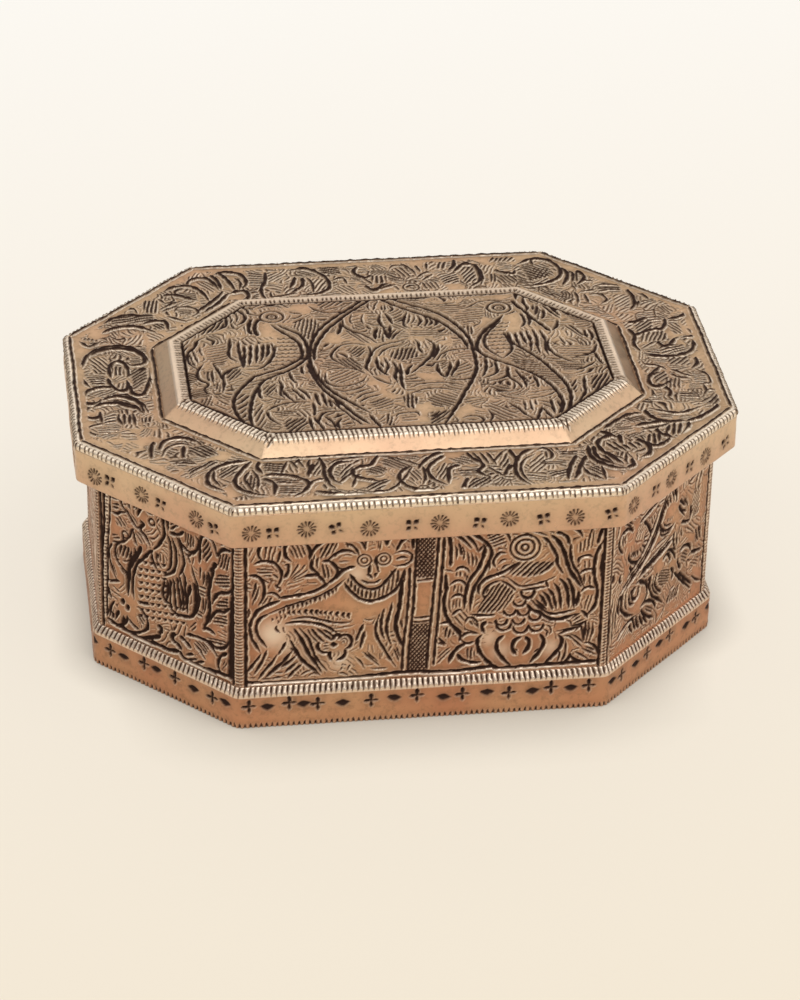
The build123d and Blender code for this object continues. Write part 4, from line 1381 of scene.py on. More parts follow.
def east_chamfer_drawing(plate):
    """The front right chamfer: stems that cross it upwards, a spiral, and leaves on every side."""
    paper = Drawing(plate, *CHAMFER_PAPER, weight=0.95)
    paper.keep(
        "560,250 680,210 690,330 640,320 560,300", "230,690 400,690 400,750 300,770 240,740",
        "420,400 520,380 640,400 640,430 420,450", "860,760 940,800 940,900 860,860")
    paper.draw((east_chamfer_stems, east_chamfer_leaves))


def border_left(paper):
    """Border leaves at the lid's left end: two scrolls above, two curled leaves below."""
    paper.cuts(
        1.15, "38,520 50,480 60,450 75,430 100,415 130,408 160,415 185,435 200,460 205,485",
        "70,445 100,425 140,420 175,435 196,465 195,495 175,506 160,500 152,485",
        "110,345 140,325 170,320 200,320 220,350 226,380 215,405 190,412 178,400 176,385",
        "112,560 110,520 120,490 135,485 150,500 155,540 150,560",
        "104,560 108,590 125,622 142,625 150,600 148,572",
        "120,610 90,605 60,615 42,640 45,670 60,682 78,670 82,655",
        "85,662 120,650 150,665 172,690 180,732", "62,695 90,682 130,686 160,705 178,735",
        "55,695 40,712 42,735 55,748 72,745 76,720",
        "150,845 180,815 215,798 250,800 268,825 262,845 245,845",
        "155,600 158,640 180,650 198,600 205,560", taper=(0.12, 0.25))
    paper.cuts(
        0.9, "120,335 150,310 205,300", "45,370 70,402 100,375", "55,305 45,340 40,360",
        "35,795 60,780 82,775", "36,798 55,820 76,836", "42,545 50,580 62,600", "160,462 155,480",
        "100,650 140,645 165,670 182,700 190,735", "76,715 78,770", "120,730 118,760 128,786",
        "132,730 130,782", "145,735 142,782", "152,730 155,790", "125,800 120,830 130,862",
        "150,560 202,515", "210,500 208,560 210,620", "225,310 260,330 264,342 232,332")
    paper.leaves(
        0.62, ("60,455 108,450 118,530 70,545", -62, 1.15), ("44,310 100,312 96,385 48,370", 70, 1.1),
        ("112,348 150,350 152,405 116,395", -50, 1.05), ("156,350 202,352 200,386 160,380", 4, 1.0),
        ("112,495 150,505 150,556 112,556", 86, 1.1), ("45,535 105,545 100,600 62,600", -5, 1.15),
        ("156,520 206,510 202,580 156,650", 46, 1.05), ("62,612 128,612 122,648 64,650", 30, 1.1),
        ("62,782 122,780 122,842 66,836", -5, 1.15), ("165,752 204,742 204,800 165,806", 84, 1.05),
        ("170,812 240,806 246,846 175,850", 25, 1.15), ("100,655 150,668 172,730 110,700", -35, 1.1))


def border_right(paper):
    """Border leaves at the lid's right end: a smooth boss, fans of strokes and a long crescent."""
    paper.cuts(
        1.15, "1350,368 1370,396 1400,412 1430,400 1450,370 1462,318",
        "1485,400 1480,430 1465,455 1448,452", "1545,360 1535,386 1515,400 1490,404",
        "1395,480 1430,460 1462,450", "1385,440 1395,480 1386,520 1395,556",
        "1445,515 1455,540 1470,535 1490,505 1502,495",
        "1532,510 1530,542 1515,570 1490,586 1450,590 1400,566",
        "1430,635 1402,670 1388,700 1396,730 1420,725 1450,700",
        "1388,740 1388,782 1396,812 1430,840 1470,845 1512,820 1540,780 1545,760",
        "1420,735 1430,755 1422,786", "1350,850 1346,820 1360,795 1385,800 1386,832",
        "1522,600 1520,632 1502,652", taper=(0.12, 0.25))
    paper.cuts(
        0.85, "1350,322 1380,335 1410,325 1442,300", "1350,366 1382,362 1420,346 1452,340",
        "1462,330 1490,350 1520,352 1542,345", "1400,545 1430,520 1446,512", "1530,450 1540,490 1502,500",
        "1390,602 1396,622 1420,630 1442,652", "1400,575 1440,590 1482,590", "1450,650 1480,680 1502,692",
        "1446,672 1462,692 1490,702", "1510,652 1530,680 1536,702 1532,726 1500,728",
        "1400,790 1430,820 1470,825 1512,800 1536,770", "1515,730 1516,760 1508,778",
        "1505,782 1522,758 1546,762", "1480,850 1512,835 1530,815 1546,790")
    paper.leaves(
        0.62, ("1375,345 1446,342 1432,400 1386,396", 0, 1.15),
        ("1350,306 1400,300 1402,336 1354,338", 32, 1.05),
        ("1398,410 1462,396 1452,450 1400,470", 42, 1.15),
        ("1480,300 1536,300 1536,342 1484,342", 18, 1.1),
        ("1482,426 1520,420 1520,480 1490,484", -62, 1.1),
        ("1405,465 1478,456 1482,516 1402,512", 68, 1.15),
        ("1436,532 1512,524 1508,578 1440,582", 20, 1.2), ("1448,592 1512,590 1506,642 1446,632", 46, 1.2),
        ("1494,655 1532,668 1530,724 1494,722", -8, 1.1),
        ("1398,664 1440,650 1446,700 1396,722", 44, 1.15),
        ("1424,690 1470,690 1462,748 1420,740", 78, 1.15),
        ("1446,762 1504,758 1500,800 1440,800", -12, 1.1),
        ("1396,792 1446,800 1442,832 1410,826", -25, 1.0))


def border_back(paper):
    """Border leaves along the back, with bent leaves over both of its slanting ends."""
    paper.cuts(
        1.15, "110,290 140,265 172,255 205,262 235,258", "105,335 140,315 182,312 215,330 236,346",
        "205,300 236,290 262,300 266,336", "270,135 300,120 332,120 356,140 370,170 376,196",
        "265,160 300,165 332,185 352,190", "345,250 375,215 400,180 416,150",
        "360,255 396,215 420,175 432,160", "330,110 336,90 356,80 382,85 396,110 406,140",
        "390,65 406,95 412,140", "410,55 426,80 440,120 446,146",
        "402,60 432,55 462,65 476,90 476,120 466,142", "430,165 460,155 476,168 474,192 456,205 436,196",
        "530,60 525,110 512,145 512,180 520,206",
        "590,55 632,55 662,80 680,110 683,150 670,175 640,190 602,185", "602,95 592,130 583,152",
        "620,100 616,140 596,165 583,176", "765,55 752,75 756,100 775,115 796,102",
        "770,155 790,185 810,165 832,150", "1012,40 1006,75 990,96",
        "1000,110 1030,70 1060,80 1066,120 1060,160 1030,190", "1105,105 1130,125 1150,130 1158,110",
        "1165,80 1210,60 1250,70 1270,110 1266,150 1240,180 1200,195 1160,195",
        "1275,110 1286,140 1280,170 1265,202", "1310,130 1326,160 1316,186 1300,202",
        "1420,240 1428,280 1425,320 1410,346", "1430,230 1450,260 1466,296", taper=(0.12, 0.25))
    paper.cuts(
        0.85, "165,240 172,222 190,225 196,246", "250,170 270,200 290,190 286,165",
        "285,250 300,225 336,232 345,255 326,275", "250,232 290,202 312,190", "256,242 302,215",
        "265,265 290,285 316,300", "380,250 412,220 432,195", "450,80 463,110 458,146",
        "535,160 533,190 560,190 602,175", "630,95 641,130 640,180", "690,120 720,110 728,142",
        "770,115 786,140 790,152", "840,80 852,60 880,60 900,90 906,120", "800,180 830,165 852,155",
        "905,130 926,105 946,100", "915,145 950,110", "910,60 918,95", "940,50 936,86",
        "1040,60 1066,90 1071,140 1060,182", "1100,60 1126,20", "1205,50 1206,92",
        "1290,125 1301,150 1290,190", "1300,200 1320,185 1346,188", "1335,220 1360,210 1400,215 1422,226",
        "1286,235 1291,270 1286,300", "1310,250 1313,300", "1320,255 1350,260 1361,290 1340,310",
        "1440,300 1430,332", "1300,240 1342,235")
    paper.rings((885, 175), (20,), 0.75)
    paper.leaves(
        0.62, ("130,256 240,250 240,300 120,300", 12, 1.15), ("222,296 262,300 262,336 226,336", -50, 1.0),
        ("206,176 256,178 250,252 208,250", 82, 1.1), ("298,142 352,150 352,190 312,180", -26, 1.0),
        ("345,92 396,96 400,160 366,140", -55, 1.05), ("286,230 338,236 330,272 296,262", 8, 1.0),
        ("480,55 528,60 524,140 482,140", -14, 1.3), ("530,58 592,60 560,116 530,116", 42, 1.15),
        ("640,100 682,110 676,170 640,184", 62, 1.2), ("655,42 722,46 726,96 668,94", -20, 1.1),
        ("690,150 742,146 752,188 700,192", -55, 1.15), ("785,100 838,102 832,152 788,152", 84, 1.3),
        ("850,64 896,66 896,128 856,122", -66, 1.25), ("908,150 962,150 960,192 912,190", -76, 1.15),
        ("958,44 1000,44 992,94 956,88", 72, 1.3), ("952,104 1012,104 1016,168 966,172", 30, 1.2),
        ("1016,72 1060,82 1060,160 1016,182", 56, 1.15), ("1080,120 1112,118 1110,172 1084,172", 82, 1.05),
        ("1106,28 1172,28 1170,66 1108,66", 56, 1.15), ("1100,130 1162,134 1160,182 1104,180", -64, 1.1),
        ("1168,84 1246,76 1258,150 1180,184", -40, 1.2), ("1286,130 1320,134 1316,188 1288,190", 80, 1.05),
        ("1342,214 1412,218 1410,256 1344,252", 0, 1.1), ("1376,258 1424,262 1416,332 1372,332", 40, 1.2),
        ("1482,294 1542,296 1540,332 1484,332", 25, 1.15), ("1200,100 1250,110 1240,160 1200,170", 60, 1.1))


BORDER_PAPER = (-88, 66, 9)


def sheet_sector(side):
    """The outline of a sheet's share of the border: a long side takes the slanting sides beside it too."""
    spread = 1 if side in (0, 4) else 0
    order = [k % 8 for k in range(side - spread, side + 2 + spread)]
    rim, foot = outline_corners(LID_OFFSET + 2), outline_corners(PANEL_FOOT)
    return np.vstack([rim[order], foot[order[::-1]]])


def border_drawing(plate):
    """Curling hatched leaves all round between the raised panel and the rim, side by side on one sheet."""
    shares = {
        0: (border_west, border_middle, border_east),
        2: (border_right,),
        4: (border_back,),
        6: (border_left,),
    }
    for side, parts in shares.items():
        sheet = plate.blank()
        Drawing(sheet, *BORDER_PAPER).draw(parts)
        sheet.trim(sheet_sector(side))
        plate.carve(slice(None), slice(None), sheet.depth, sheet.burr)


BIRD_MIDDLE = 1210
BEAST_MIDDLE = 395
END_STRETCH = 1.1


def end_drawing(plate, middle, along, *parts):
    """One of the front's two pictures alone, stretched a little over an end wall, or mirrored."""
    top, per_mm = FRONT_PAPER[1:]
    Drawing(plate, -along * middle / per_mm, top, per_mm, along=(along, 0)).draw(parts)


def back_drawing(plate):
    """The front's two pictures again, mirrored so that the beast stands on the right."""
    left, top, per_mm = FRONT_PAPER
    Drawing(plate, -left - 1, top, per_mm, along=(-1, 0)).draw(FRONT_PARTS)


WALL_DRAWINGS = {
    0: front_drawing,
    1: east_chamfer_drawing,
    2: lambda plate: end_drawing(plate, BIRD_MIDDLE, END_STRETCH, front_bird, front_vase),
    3: chamfer_drawing,
    4: back_drawing,
    5: lambda plate: chamfer_drawing(plate, -1),
    6: lambda plate: end_drawing(plate, BEAST_MIDDLE, -END_STRETCH, front_beast, front_leaves),
    7: chamfer_drawing,
}
# The ladders of ticks over a wall's bends, and the plate and the picture between them, in millimetres.
LADDER_PITCH = 0.95
LADDER_REACHES = (0.85, 1.35)
LADDER_LOW = 12.5
LADDER_HIGH = 66
LADDER_LINE = 0.55
LADDER_CLEAR = 0.3
PLATE_MARGIN = 3
WALL_PLATE_LOW = 9.5
WALL_PLATE_HIGH = 69
WALL_PICTURE_LOW = 12.6
WALL_PICTURE_TOP = 58.5
PLAIN_SHARE = 0.4
EAST_CHAMFER_PLAIN_SHARE = 0.1


def corner_ladders(plate, side, half, low, high):
    """The ticked bands that run down both bends of a wall, and the deep lines beside them."""
    for sign, corner in ((-1, side + 7), (1, side)):
        edge = sign * half
        reach = LADDER_REACHES[corner % 2]
        for z in np.arange(low, high, LADDER_PITCH):
            plate.cut([(edge - reach, z - 0.1), (edge + reach, z + 0.1)], 0.5, taper=(0.1, 0.1))
        line = edge - sign * (reach + LADDER_LINE)
        plate.cut([(line, low - 1), (line + 0.1, high + 2)], 0.95, taper=(0.02, 0.02))


def wall_plate(side):
    """The engraving of one side of the wall."""
    half = bend_reach(side, 0, WALL_BEND)
    plate = Plate((-half - PLATE_MARGIN, WALL_PLATE_LOW), (half + PLATE_MARGIN, WALL_PLATE_HIGH))
    WALL_DRAWINGS[side](plate)
    inner = half - max(LADDER_REACHES) - LADDER_CLEAR
    plate.trim([(-inner, WALL_PICTURE_LOW), (inner, WALL_PICTURE_LOW),
                (inner, WALL_PICTURE_TOP), (-inner, WALL_PICTURE_TOP)])
    plain = EAST_CHAMFER_PLAIN_SHARE if side == 1 else PLAIN_SHARE
    plate.ground(30 + side, width=0.6, plain=plain, rim=0.7)
    corner_ladders(plate, side, half, LADDER_LOW, LADDER_HIGH)
    return plate.finish(seed=20 + side)


RUN_MARGIN = 4
MARK_WAVER = 0.7


def run_plate(offset, bend, low, high):
    """A plate whose first axis runs round the whole outline and wraps behind."""
    turn = side_run(4, offset, bend)
    plate = Plate((-turn - RUN_MARGIN, low), (turn + RUN_MARGIN, high))
    plate.turn = turn
    return plate


def spread_marks(front, spacing, turn, shift):
    """Places along the run: the front's own, then even steps round the other sides with a little waver."""
    last = front[-1] + spacing
    count = int((2 * turn + front[0] - last) / spacing)
    step = (2 * turn + front[0] - last) / max(count, 1)
    rest = [last + step * i + MARK_WAVER * math.sin(i * 2.1 + shift) for i in range(count)]
    return [x if x < turn else x - 2 * turn for x in [*front, *rest]]


def wear_and_highlight_band(plate, low, high, share):
    """Marks a band right round a run as worn bright, with a painted highlight."""
    left, right = -plate.turn - RUN_MARGIN, plate.turn + RUN_MARGIN
    plate.paint_wear_and_highlight([(left, low), (right, low), (right, high), (left, high)], share=share)


FOOT_CROSSES = (-45.5, -35, -27.5, -13.5, -1.5, 10.5, 22.8, 34, 44)
FOOT_DIAMONDS = (-40.7, -31.3, -21, -7.5, 5.5, 17, 29, 39.2)
FOOT_SPACING = 11.6
FOOT_PLATE = (-1.6, 14.2)
NOTCH_PITCH = 1.42
UPPER_NOTCH = (9.2, 12.9)
LOWER_NOTCH = (-0.6, 1.5)
CROSS_HEIGHT = 6.6
CROSS_ARMS = ((0, 2, 1.05), (0, -2, 0.9), (1.9, 0.15, 0.75), (-1.9, -0.15, 1.0))
DIAMOND_HEIGHT = 6.5
DIAMOND_SIZE = (2.4, 1.45)
SHOULDER_BAND = (9.3, 13.2)


def foot_plate():
    """Notched edges with crosses and diamonds punched between them."""
    plate = run_plate(FOOT_OFFSET, WALL_BEND + FOOT_OFFSET, *FOOT_PLATE)
    count = int(round(2 * plate.turn / NOTCH_PITCH))
    for i in range(count + 1):
        x = -plate.turn + i * 2 * plate.turn / count
        lean = 0.12 * math.sin(i * 2.3)
        plate.cut([(x + lean, UPPER_NOTCH[0]), (x - lean, UPPER_NOTCH[1])], 0.68, taper=(0.5, 0.1))
        x += 0.3
        plate.cut([(x - lean, LOWER_NOTCH[0]), (x + lean, LOWER_NOTCH[1])], 0.7, taper=(0.1, 0.5))
    for i, x in enumerate(spread_marks(FOOT_CROSSES, FOOT_SPACING, plate.turn, 0.3)):
        z = CROSS_HEIGHT + 0.5 * math.sin(i * 1.9)
        for dx, dz, width in CROSS_ARMS:
            arm = [(x + dx, z + dz), (x + dx * 0.4, z + dz * 0.4), (x, z)]
            plate.cut(arm, width, taper=(0.2, 0.7), tip=0.5)
    for i, x in enumerate(spread_marks(FOOT_DIAMONDS, FOOT_SPACING, plate.turn, 1.1)):
        centre = (x, DIAMOND_HEIGHT + 0.4 * math.sin(i * 2.7))
        plate.diamond(centre, *DIAMOND_SIZE, tilt=0.12 * math.sin(i * 1.3))
    # The upward shoulder is painted bright: worn metal with a painted highlight where the light falls on
    # it.
    wear_and_highlight_band(plate, *SHOULDER_BAND, 0.8)
    return plate.finish(seed=40, uneven=0.08, sink=0.1, puff=0.15, polish_and_highlight=0.35)


SKIRT_SUNS = (-45, -31, -15, 2.8, 20.6, 37.5)
SKIRT_DROPS = (-39.5, -23.5, -4.2, 13, 29.5, 47)
SKIRT_SPACING = 16.6
SUN_HEIGHT = 61.8
DROP_HEIGHT = 61.6
DROP_TURNS = ((50, 1.45), (140, 1.6), (228, 1.25), (315, 0.8))


def skirt_plate():
    """Sunburst and four-dropped punch marks in turn."""
    plate = run_plate(LID_OFFSET, LID_BEND, skirt_low[2] - 1, skirt_high[2] + 1)
    for i, x in enumerate(spread_marks(SKIRT_SUNS, SKIRT_SPACING, plate.turn, 0.5)):
        plate.rosette((x, SUN_HEIGHT + 0.4 * math.sin(i * 2.2)), turn=i * 0.7)
    for i, x in enumerate(spread_marks(SKIRT_DROPS, SKIRT_SPACING, plate.turn, 1.7)):
        z = DROP_HEIGHT + 0.35 * math.sin(i * 1.4)
        for turn, width in DROP_TURNS:
            lean = math.radians(turn + 14 * math.sin(i * 1.7))
            dx, dz = math.cos(lean), math.sin(lean)
            plate.wedge((x + 2.4 * dx, z + 2.2 * dz), (x + 0.3 * dx, z + 0.3 * dz), width)
    # The whole skirt is painted a little brighter: wear and a painted highlight.
    wear_and_highlight_band(plate, skirt_low[2] - 1, skirt_high[2] + 1, 0.2)
    return plate.finish(seed=50, uneven=0.1, sink=0.05, puff=0.15, polish_and_highlight=0.35)


def outline_point(side, u, offset):
    """A place on one side of the outline grown by offset."""
    middle, along = side_frame(side, offset)[:2]
    return middle + along * u


def side_strip(side, inner, outer):
    """The part of one side between two offsets of the outline."""
    near, far = (side_frame(side, offset)[3] for offset in (inner, outer))
    corners = ((-near, inner), (near, inner), (far, outer), (-far, outer))
    return [outline_point(side, u, offset) for u, offset in corners]


def edge_ticks(plate, side, inner, outer, pitch, width, slant=0.0, taper=(0.15, 0.5)):
    """Short cuts across a side's edge, from one offset to another."""
    half = side_frame(side, outer)[3]
    count = int(2 * half / pitch)
    for i in range(count + 1):
        u = -half + pitch * (i + 0.5) + 0.12 * math.sin(i * 4.1)
        tick = [outline_point(side, u, inner), outline_point(side, u + slant, outer)]
        plate.cut(tick, width, taper=taper)


def outline_line(plate, offset, width, waver=0.12):
    """A chased line that follows all eight sides at one offset."""
    for side in range(8):
        half = side_frame(side, offset)[3]
        u = np.linspace(-half, half, 9)
        line = [outline_point(side, x, offset + waver * math.sin(i * 2.1 + side)) for i, x in enumerate(u)]
        plate.cut(line, width, taper=(0.02, 0.02))


# Offsets of the outline, in millimetres: the border's chased line, its leaves and its edge.
RIM_LINE = 3.2
LEAVES_OUT = 0.9
LEAVES_IN = -17.0
TICKS_OUT = 6.35
BORDER_END = 7
LINE_GAP = 0.35


def border_plate():
    """Scrolling leaves round the raised panel and notches over the lid's edge."""
    x, y = WALL_HALF_LENGTH + LID_OFFSET + 3, WALL_HALF_WIDTH + LID_OFFSET + 3
    plate = Plate((-x, -y), (x, y))
    border_drawing(plate)
    plate.trim(outline_corners(LEAVES_OUT))
    plate.trim(outline_corners(LEAVES_IN), inside=False)
    plate.ground(61)
    outline_line(plate, RIM_LINE, 0.85)
    outline_line(plate, PANEL_FOOT + LINE_GAP, 0.9)
    for side in range(8):
        edge_ticks(plate, side, RIM_LINE + 2 * LINE_GAP, TICKS_OUT, 1.5, 0.55, 0.3, (0.3, 0.1))
    # The rounded edge past the rim line is painted bright: worn metal with a painted highlight.
    plate.paint_wear_and_highlight(outline_corners(BORDER_END), outline_corners(RIM_LINE + 0.4), 0.9)
    return plate.finish(seed=60)


FRONT_SIDES = (0, 1, 7)
FRONT_TICKS = (4.6, 0.5)
OTHER_TICKS = (2.4, 0)


def panel_plate():
    """Two peacocks beside a pointed medallion, inside a ticked line; the ticks reach furthest in front."""
    x, y = WALL_HALF_LENGTH + PANEL_FOOT + 1, WALL_HALF_WIDTH + PANEL_FOOT + 1
    plate = Plate((-x, -y), (x, y))
    line = PANEL_FOOT - PANEL_BEVEL - FIELD_INSET
    Drawing(plate, *CROWN_PAPER).draw((left_peacock, left_leaves, medallion, right_peacock))
    plate.trim(outline_corners(line - 0.2))
    plate.ground(71)
    outline_line(plate, line, 1.0, 0)
    for side in range(8):
        reach, slant = FRONT_TICKS if side in FRONT_SIDES else OTHER_TICKS
        edge_ticks(plate, side, line + LINE_GAP, line + reach, 1.3, 0.62, slant)
    # The flat round the field, and a little the bevel, are painted bright: worn metal with a painted
    # highlight, stronger on the front sides where the light falls.
    edge = line + FIELD_INSET + 0.6
    for side in range(8):
        plate.paint_wear_and_highlight(side_strip(side, edge, PANEL_FOOT + 1), share=0.15)
        plate.paint_wear_and_highlight(side_strip(side, line, edge), share=0.9 if side in FRONT_SIDES else 0.55)
    plate.paint_wear_and_highlight(outline_corners(line + 0.3), share=0)
    return plate.finish(seed=70)


# Pieces: closed surfaces whose cross-sections are loops of places, set side by side.

BACK_DIRT = 0.25
PLAIN_DIRT = 0.2


def loft_piece(name, sections, smooth, ring, dirt, rub_and_highlight):
    """A closed piece from loops of places, each joined to the next; an open row gets two end faces.

    sections is columns x loop x 3 in millimetres. smooth says which steps round the loop are relief.
    """
    columns, loop = sections.shape[:2]
    vertices = sections.reshape(-1, 3)
    spans = columns if ring else columns - 1
    here = np.arange(spans)[:, None] * loop
    there = ((np.arange(spans)[:, None] + 1) % columns) * loop
    step = np.arange(loop)[None, :]
    ahead = (step + 1) % loop
    quads = np.stack([here + step, there + step, there + ahead, here + ahead], -1).reshape(-1, 4)
    a, b, c, d = (vertices[quads[:, i]] for i in range(4))
    volume = np.einsum("ij,ij->i", a, np.cross(b, c)).sum() + np.einsum("ij,ij->i", a, np.cross(c, d)).sum()
    caps = [] if ring else [np.arange(loop), np.arange(loop)[::-1] + (columns - 1) * loop]
    if volume < 0:
        quads = quads[:, ::-1]
        caps = [cap[::-1] for cap in caps]
    corners = np.concatenate([quads.ravel(), *caps]) if caps else quads.ravel()
    starts = np.arange(len(quads)) * 4
    ends = len(quads) * 4 + np.arange(len(caps)) * loop
    mesh = bpy.data.meshes.new(name)
    mesh.vertices.add(len(vertices))
    mesh.vertices.foreach_set("co", (vertices * MM).astype(np.float32).ravel())
    mesh.loops.add(len(corners))
    mesh.loops.foreach_set("vertex_index", corners.astype(np.int32))
    mesh.polygons.add(len(quads) + len(caps))
    mesh.polygons.foreach_set("loop_start", np.concatenate([starts, ends]).astype(np.int32))
    flags = np.concatenate([np.tile(np.asarray(smooth, bool), spans), np.zeros(len(caps), bool)])
    mesh.polygons.foreach_set("use_smooth", flags)
    # Each place's dirt, and its ridges' wear with their painted highlight, for the material.
    for key, values in (("dirt", dirt), ("rub_and_highlight", rub_and_highlight)):
        layer = mesh.attributes.new(key, "FLOAT", "POINT")
        layer.data.foreach_set("value", np.asarray(values, np.float32).ravel())
    mesh.update(calc_edges=True)
    if mesh.validate(verbose=False):
        raise RuntimeError(name + " has faces that Blender had to mend")
    piece = bpy.data.objects.new(name, mesh)
    bpy.context.scene.collection.objects.link(piece)
    return piece


def rounded_profile(corners, radii, step):
    """A profile through corner points, each inner one rounded by an arc tangent to both its runs.

    Gives places, outward normals and the distance run, about one step apart.
    """
    corners = np.asarray(corners, float)
    points = [corners[0]]
    for before, corner, after, radius in zip(corners[:-2], corners[1:-1], corners[2:], radii):
        back, on = before - corner, after - corner
        back, on = back / np.hypot(*back), on / np.hypot(*on)
        half = math.acos(np.clip(back @ on, -1, 1)) / 2
        reach = radius / math.tan(half)
        middle = corner + (back + on) / np.hypot(*(back + on)) * radius / math.sin(half)
        start, end = corner + back * reach - middle, corner + on * reach - middle
        turn = math.pi - 2 * half
        count = max(int(radius * turn / step * 1.5), 2)
        for share in np.linspace(0, 1, count + 1):
            mix = start * math.sin((1 - share) * turn) + end * math.sin(share * turn)
            points.append(middle + mix / math.sin(turn))
    points.append(corners[-1])
    dense = [points[0][None]]
    for a, b in zip(points[:-1], points[1:]):
        count = max(int(math.ceil(np.hypot(*(b - a)) / step)), 1)
        dense.append(a + (b - a) * (np.arange(1, count + 1)[:, None] / count))
    line = np.vstack(dense)
    slope = np.gradient(line, axis=0)
    slope /= np.hypot(slope[:, 0], slope[:, 1])[:, None]
    return line, np.stack([slope[:, 1], -slope[:, 0]], 1), along_curve(line)


def side_run(side, offset, bend):
    """Distance along the outline from the front's middle to a side's middle."""
    reach = [bend_reach(k, offset, bend) for k in range(8)]
    return reach[0] + sum(2 * reach[k] for k in range(1, side)) + reach[side] if side else 0.0


def side_grid(side, offsets, bends, share):
    """Places, outward directions and runs on a side, for each share of its length and each offset."""
    rows = []
    for offset in offsets:
        u = share * bend_reach(side, offset, bends(offset))
        rows.append((*on_side(side, u, offset, bends(offset)), u))
    return (np.stack(values, 1) for values in zip(*rows))


def sweep(sides, profile, closing, bends, pitch, relief):
    """Carries a profile along some sides of the outline and lays relief on it: what loft_piece takes.

    profile is (places, normals) with each place an offset and a height, and closing the places that
    close it behind. bends gives the bend's radius for an offset. relief(side, u, place) gives height,
    dirt, and the ridges' wear with their painted highlight, for the columns of a side.
    """
    line, normals = profile
    rows = len(line)
    ring = len(sides) == 8
    offsets = np.concatenate([line[:, 0], closing[:, 0]])
    all_sections, all_dirt, all_rub_and_highlight = [], [], []
    for index, side in enumerate(sides):
        longest = max(bend_reach(side, offset, bends(offset)) for offset in line[:, 0])
        share = np.linspace(-1, 1, int(2 * longest / pitch) + 1)
        if index or ring:
            share = share[1:]
        place, facing, u = side_grid(side, offsets, bends, share)
        height, dirt, rub_and_highlight = relief(side, u[:, :rows], place[:, :rows])
        section = np.empty(place.shape[:2] + (3,))
        section[:, :, :2] = place
        section[:, :rows, :2] += facing[:, :rows] * (normals[:, 0] * height)[..., None]
        section[:, :rows, 2] = line[:, 1] + normals[:, 1] * height
        section[:, rows:, 2] = closing[:, 1]
        plain = np.zeros((len(share), len(closing)))
        all_sections.append(section)
        all_dirt.append(np.hstack([dirt, plain + BACK_DIRT]))
        all_rub_and_highlight.append(np.hstack([rub_and_highlight, plain]))
    smooth = np.arange(len(line) + len(closing)) < len(line) - 1
    sections = np.vstack(all_sections)
    return sections, smooth, ring, np.vstack(all_dirt), np.vstack(all_rub_and_highlight)


# Wall panels: the heights between which a wall's grid is fine.

ROW_LOW = 11.0
ROW_FINE_TOP = 59.0


def even_steps(low, high, pitch):
    """Places from low to high, about a pitch apart."""
    return np.linspace(low, high, int((high - low) / pitch) + 1)


def with_plain(values, columns, value=0.0):
    """A grid of values with columns of one value set beside it, for the plain places of each loop."""
    return np.hstack([values, np.full((len(values), columns), value)])


def build_wall(side, plate, pitch):
    """One side of the wall: relief outside, plain sheet inside, from bend to bend."""
    half = bend_reach(side, 0, WALL_BEND)
    u = even_steps(-half, half, pitch)
    fine = even_steps(ROW_LOW, ROW_FINE_TOP, pitch)
    coarse = even_steps(ROW_FINE_TOP, wall_high[2], 2 * pitch)
    z = np.concatenate([[wall_low[2]], fine, coarse[1:]])
    place, facing = on_side(side, u, 0, WALL_BEND)
    height, dirt, rub_and_highlight = plate.read(u[:, None], z[None, :])
    height = height * smooth_step((z - ROW_LOW + 0.5) * 2) * smooth_step((wall_high[2] - z) / 0.5)
    outer = np.empty((len(u), len(z), 3))
    outer[:, :, :2] = place[:, None] + facing[:, None] * height[..., None]
    outer[:, :, 2] = z
    inner = np.empty((len(u), 2, 3))
    inner[:, :, :2] = (place - facing * SHEET)[:, None]
    inner[:, :, 2] = (wall_high[2], wall_low[2])
    sections = np.concatenate([outer, inner], 1)
    smooth = np.arange(sections.shape[1]) < len(z) - 1
    name = "wall_" + SIDE_NAMES[side]
    return loft_piece(name, sections, smooth, False, with_plain(dirt, 2, PLAIN_DIRT), with_plain(rub_and_highlight, 2))


# Foot and skirt.

FOOT_ROUNDINGS = (0.35, 0.7, 0.3)
FOOT_SUNK = 0.02
FOOT_EASE = 0.05
SKIRT_ROUNDING = 0.4
NOTCH_SEARCH = (2, 1)


def run_relief(plate, offset, bend, across):
    """Relief read from a plate whose first axis is the run round the outline and second is across."""
    def relief(side, u, place):
        run = side_run(side, offset, bend)
        reach = bend_reach(side, offset, bend)
        u = u / np.abs(u).max(0) * reach
        x = run + u
        x = np.where(x > plate.turn, x - 2 * plate.turn, x)
        return plate.read(x, np.broadcast_to(across, x.shape))
    return relief


def build_foot(plate, pitch):
    """The foot band: a vertical face, a sloping shoulder and rounded edges."""
    shoulder = foot_high[2] - FOOT_SHOULDER
    top = foot_high[2]
    corners = [(0, 0), (FOOT_OFFSET, 0), (FOOT_OFFSET, shoulder), (FOOT_LIP, top), (0, top)]
    line, normals, run = rounded_profile(corners, FOOT_ROUNDINGS, pitch)
    across = run - FOOT_OFFSET
    bend = WALL_BEND + FOOT_OFFSET
    relief = run_relief(plate, FOOT_OFFSET, bend, across)
    closing = np.array([(-FOOT_SUNK, top - FOOT_EASE), (-FOOT_SUNK, FOOT_EASE)])
    parts = sweep(range(8), (line, normals), closing, lambda o: WALL_BEND + max(o, 0), pitch, relief)
    return loft_piece("foot", *parts)


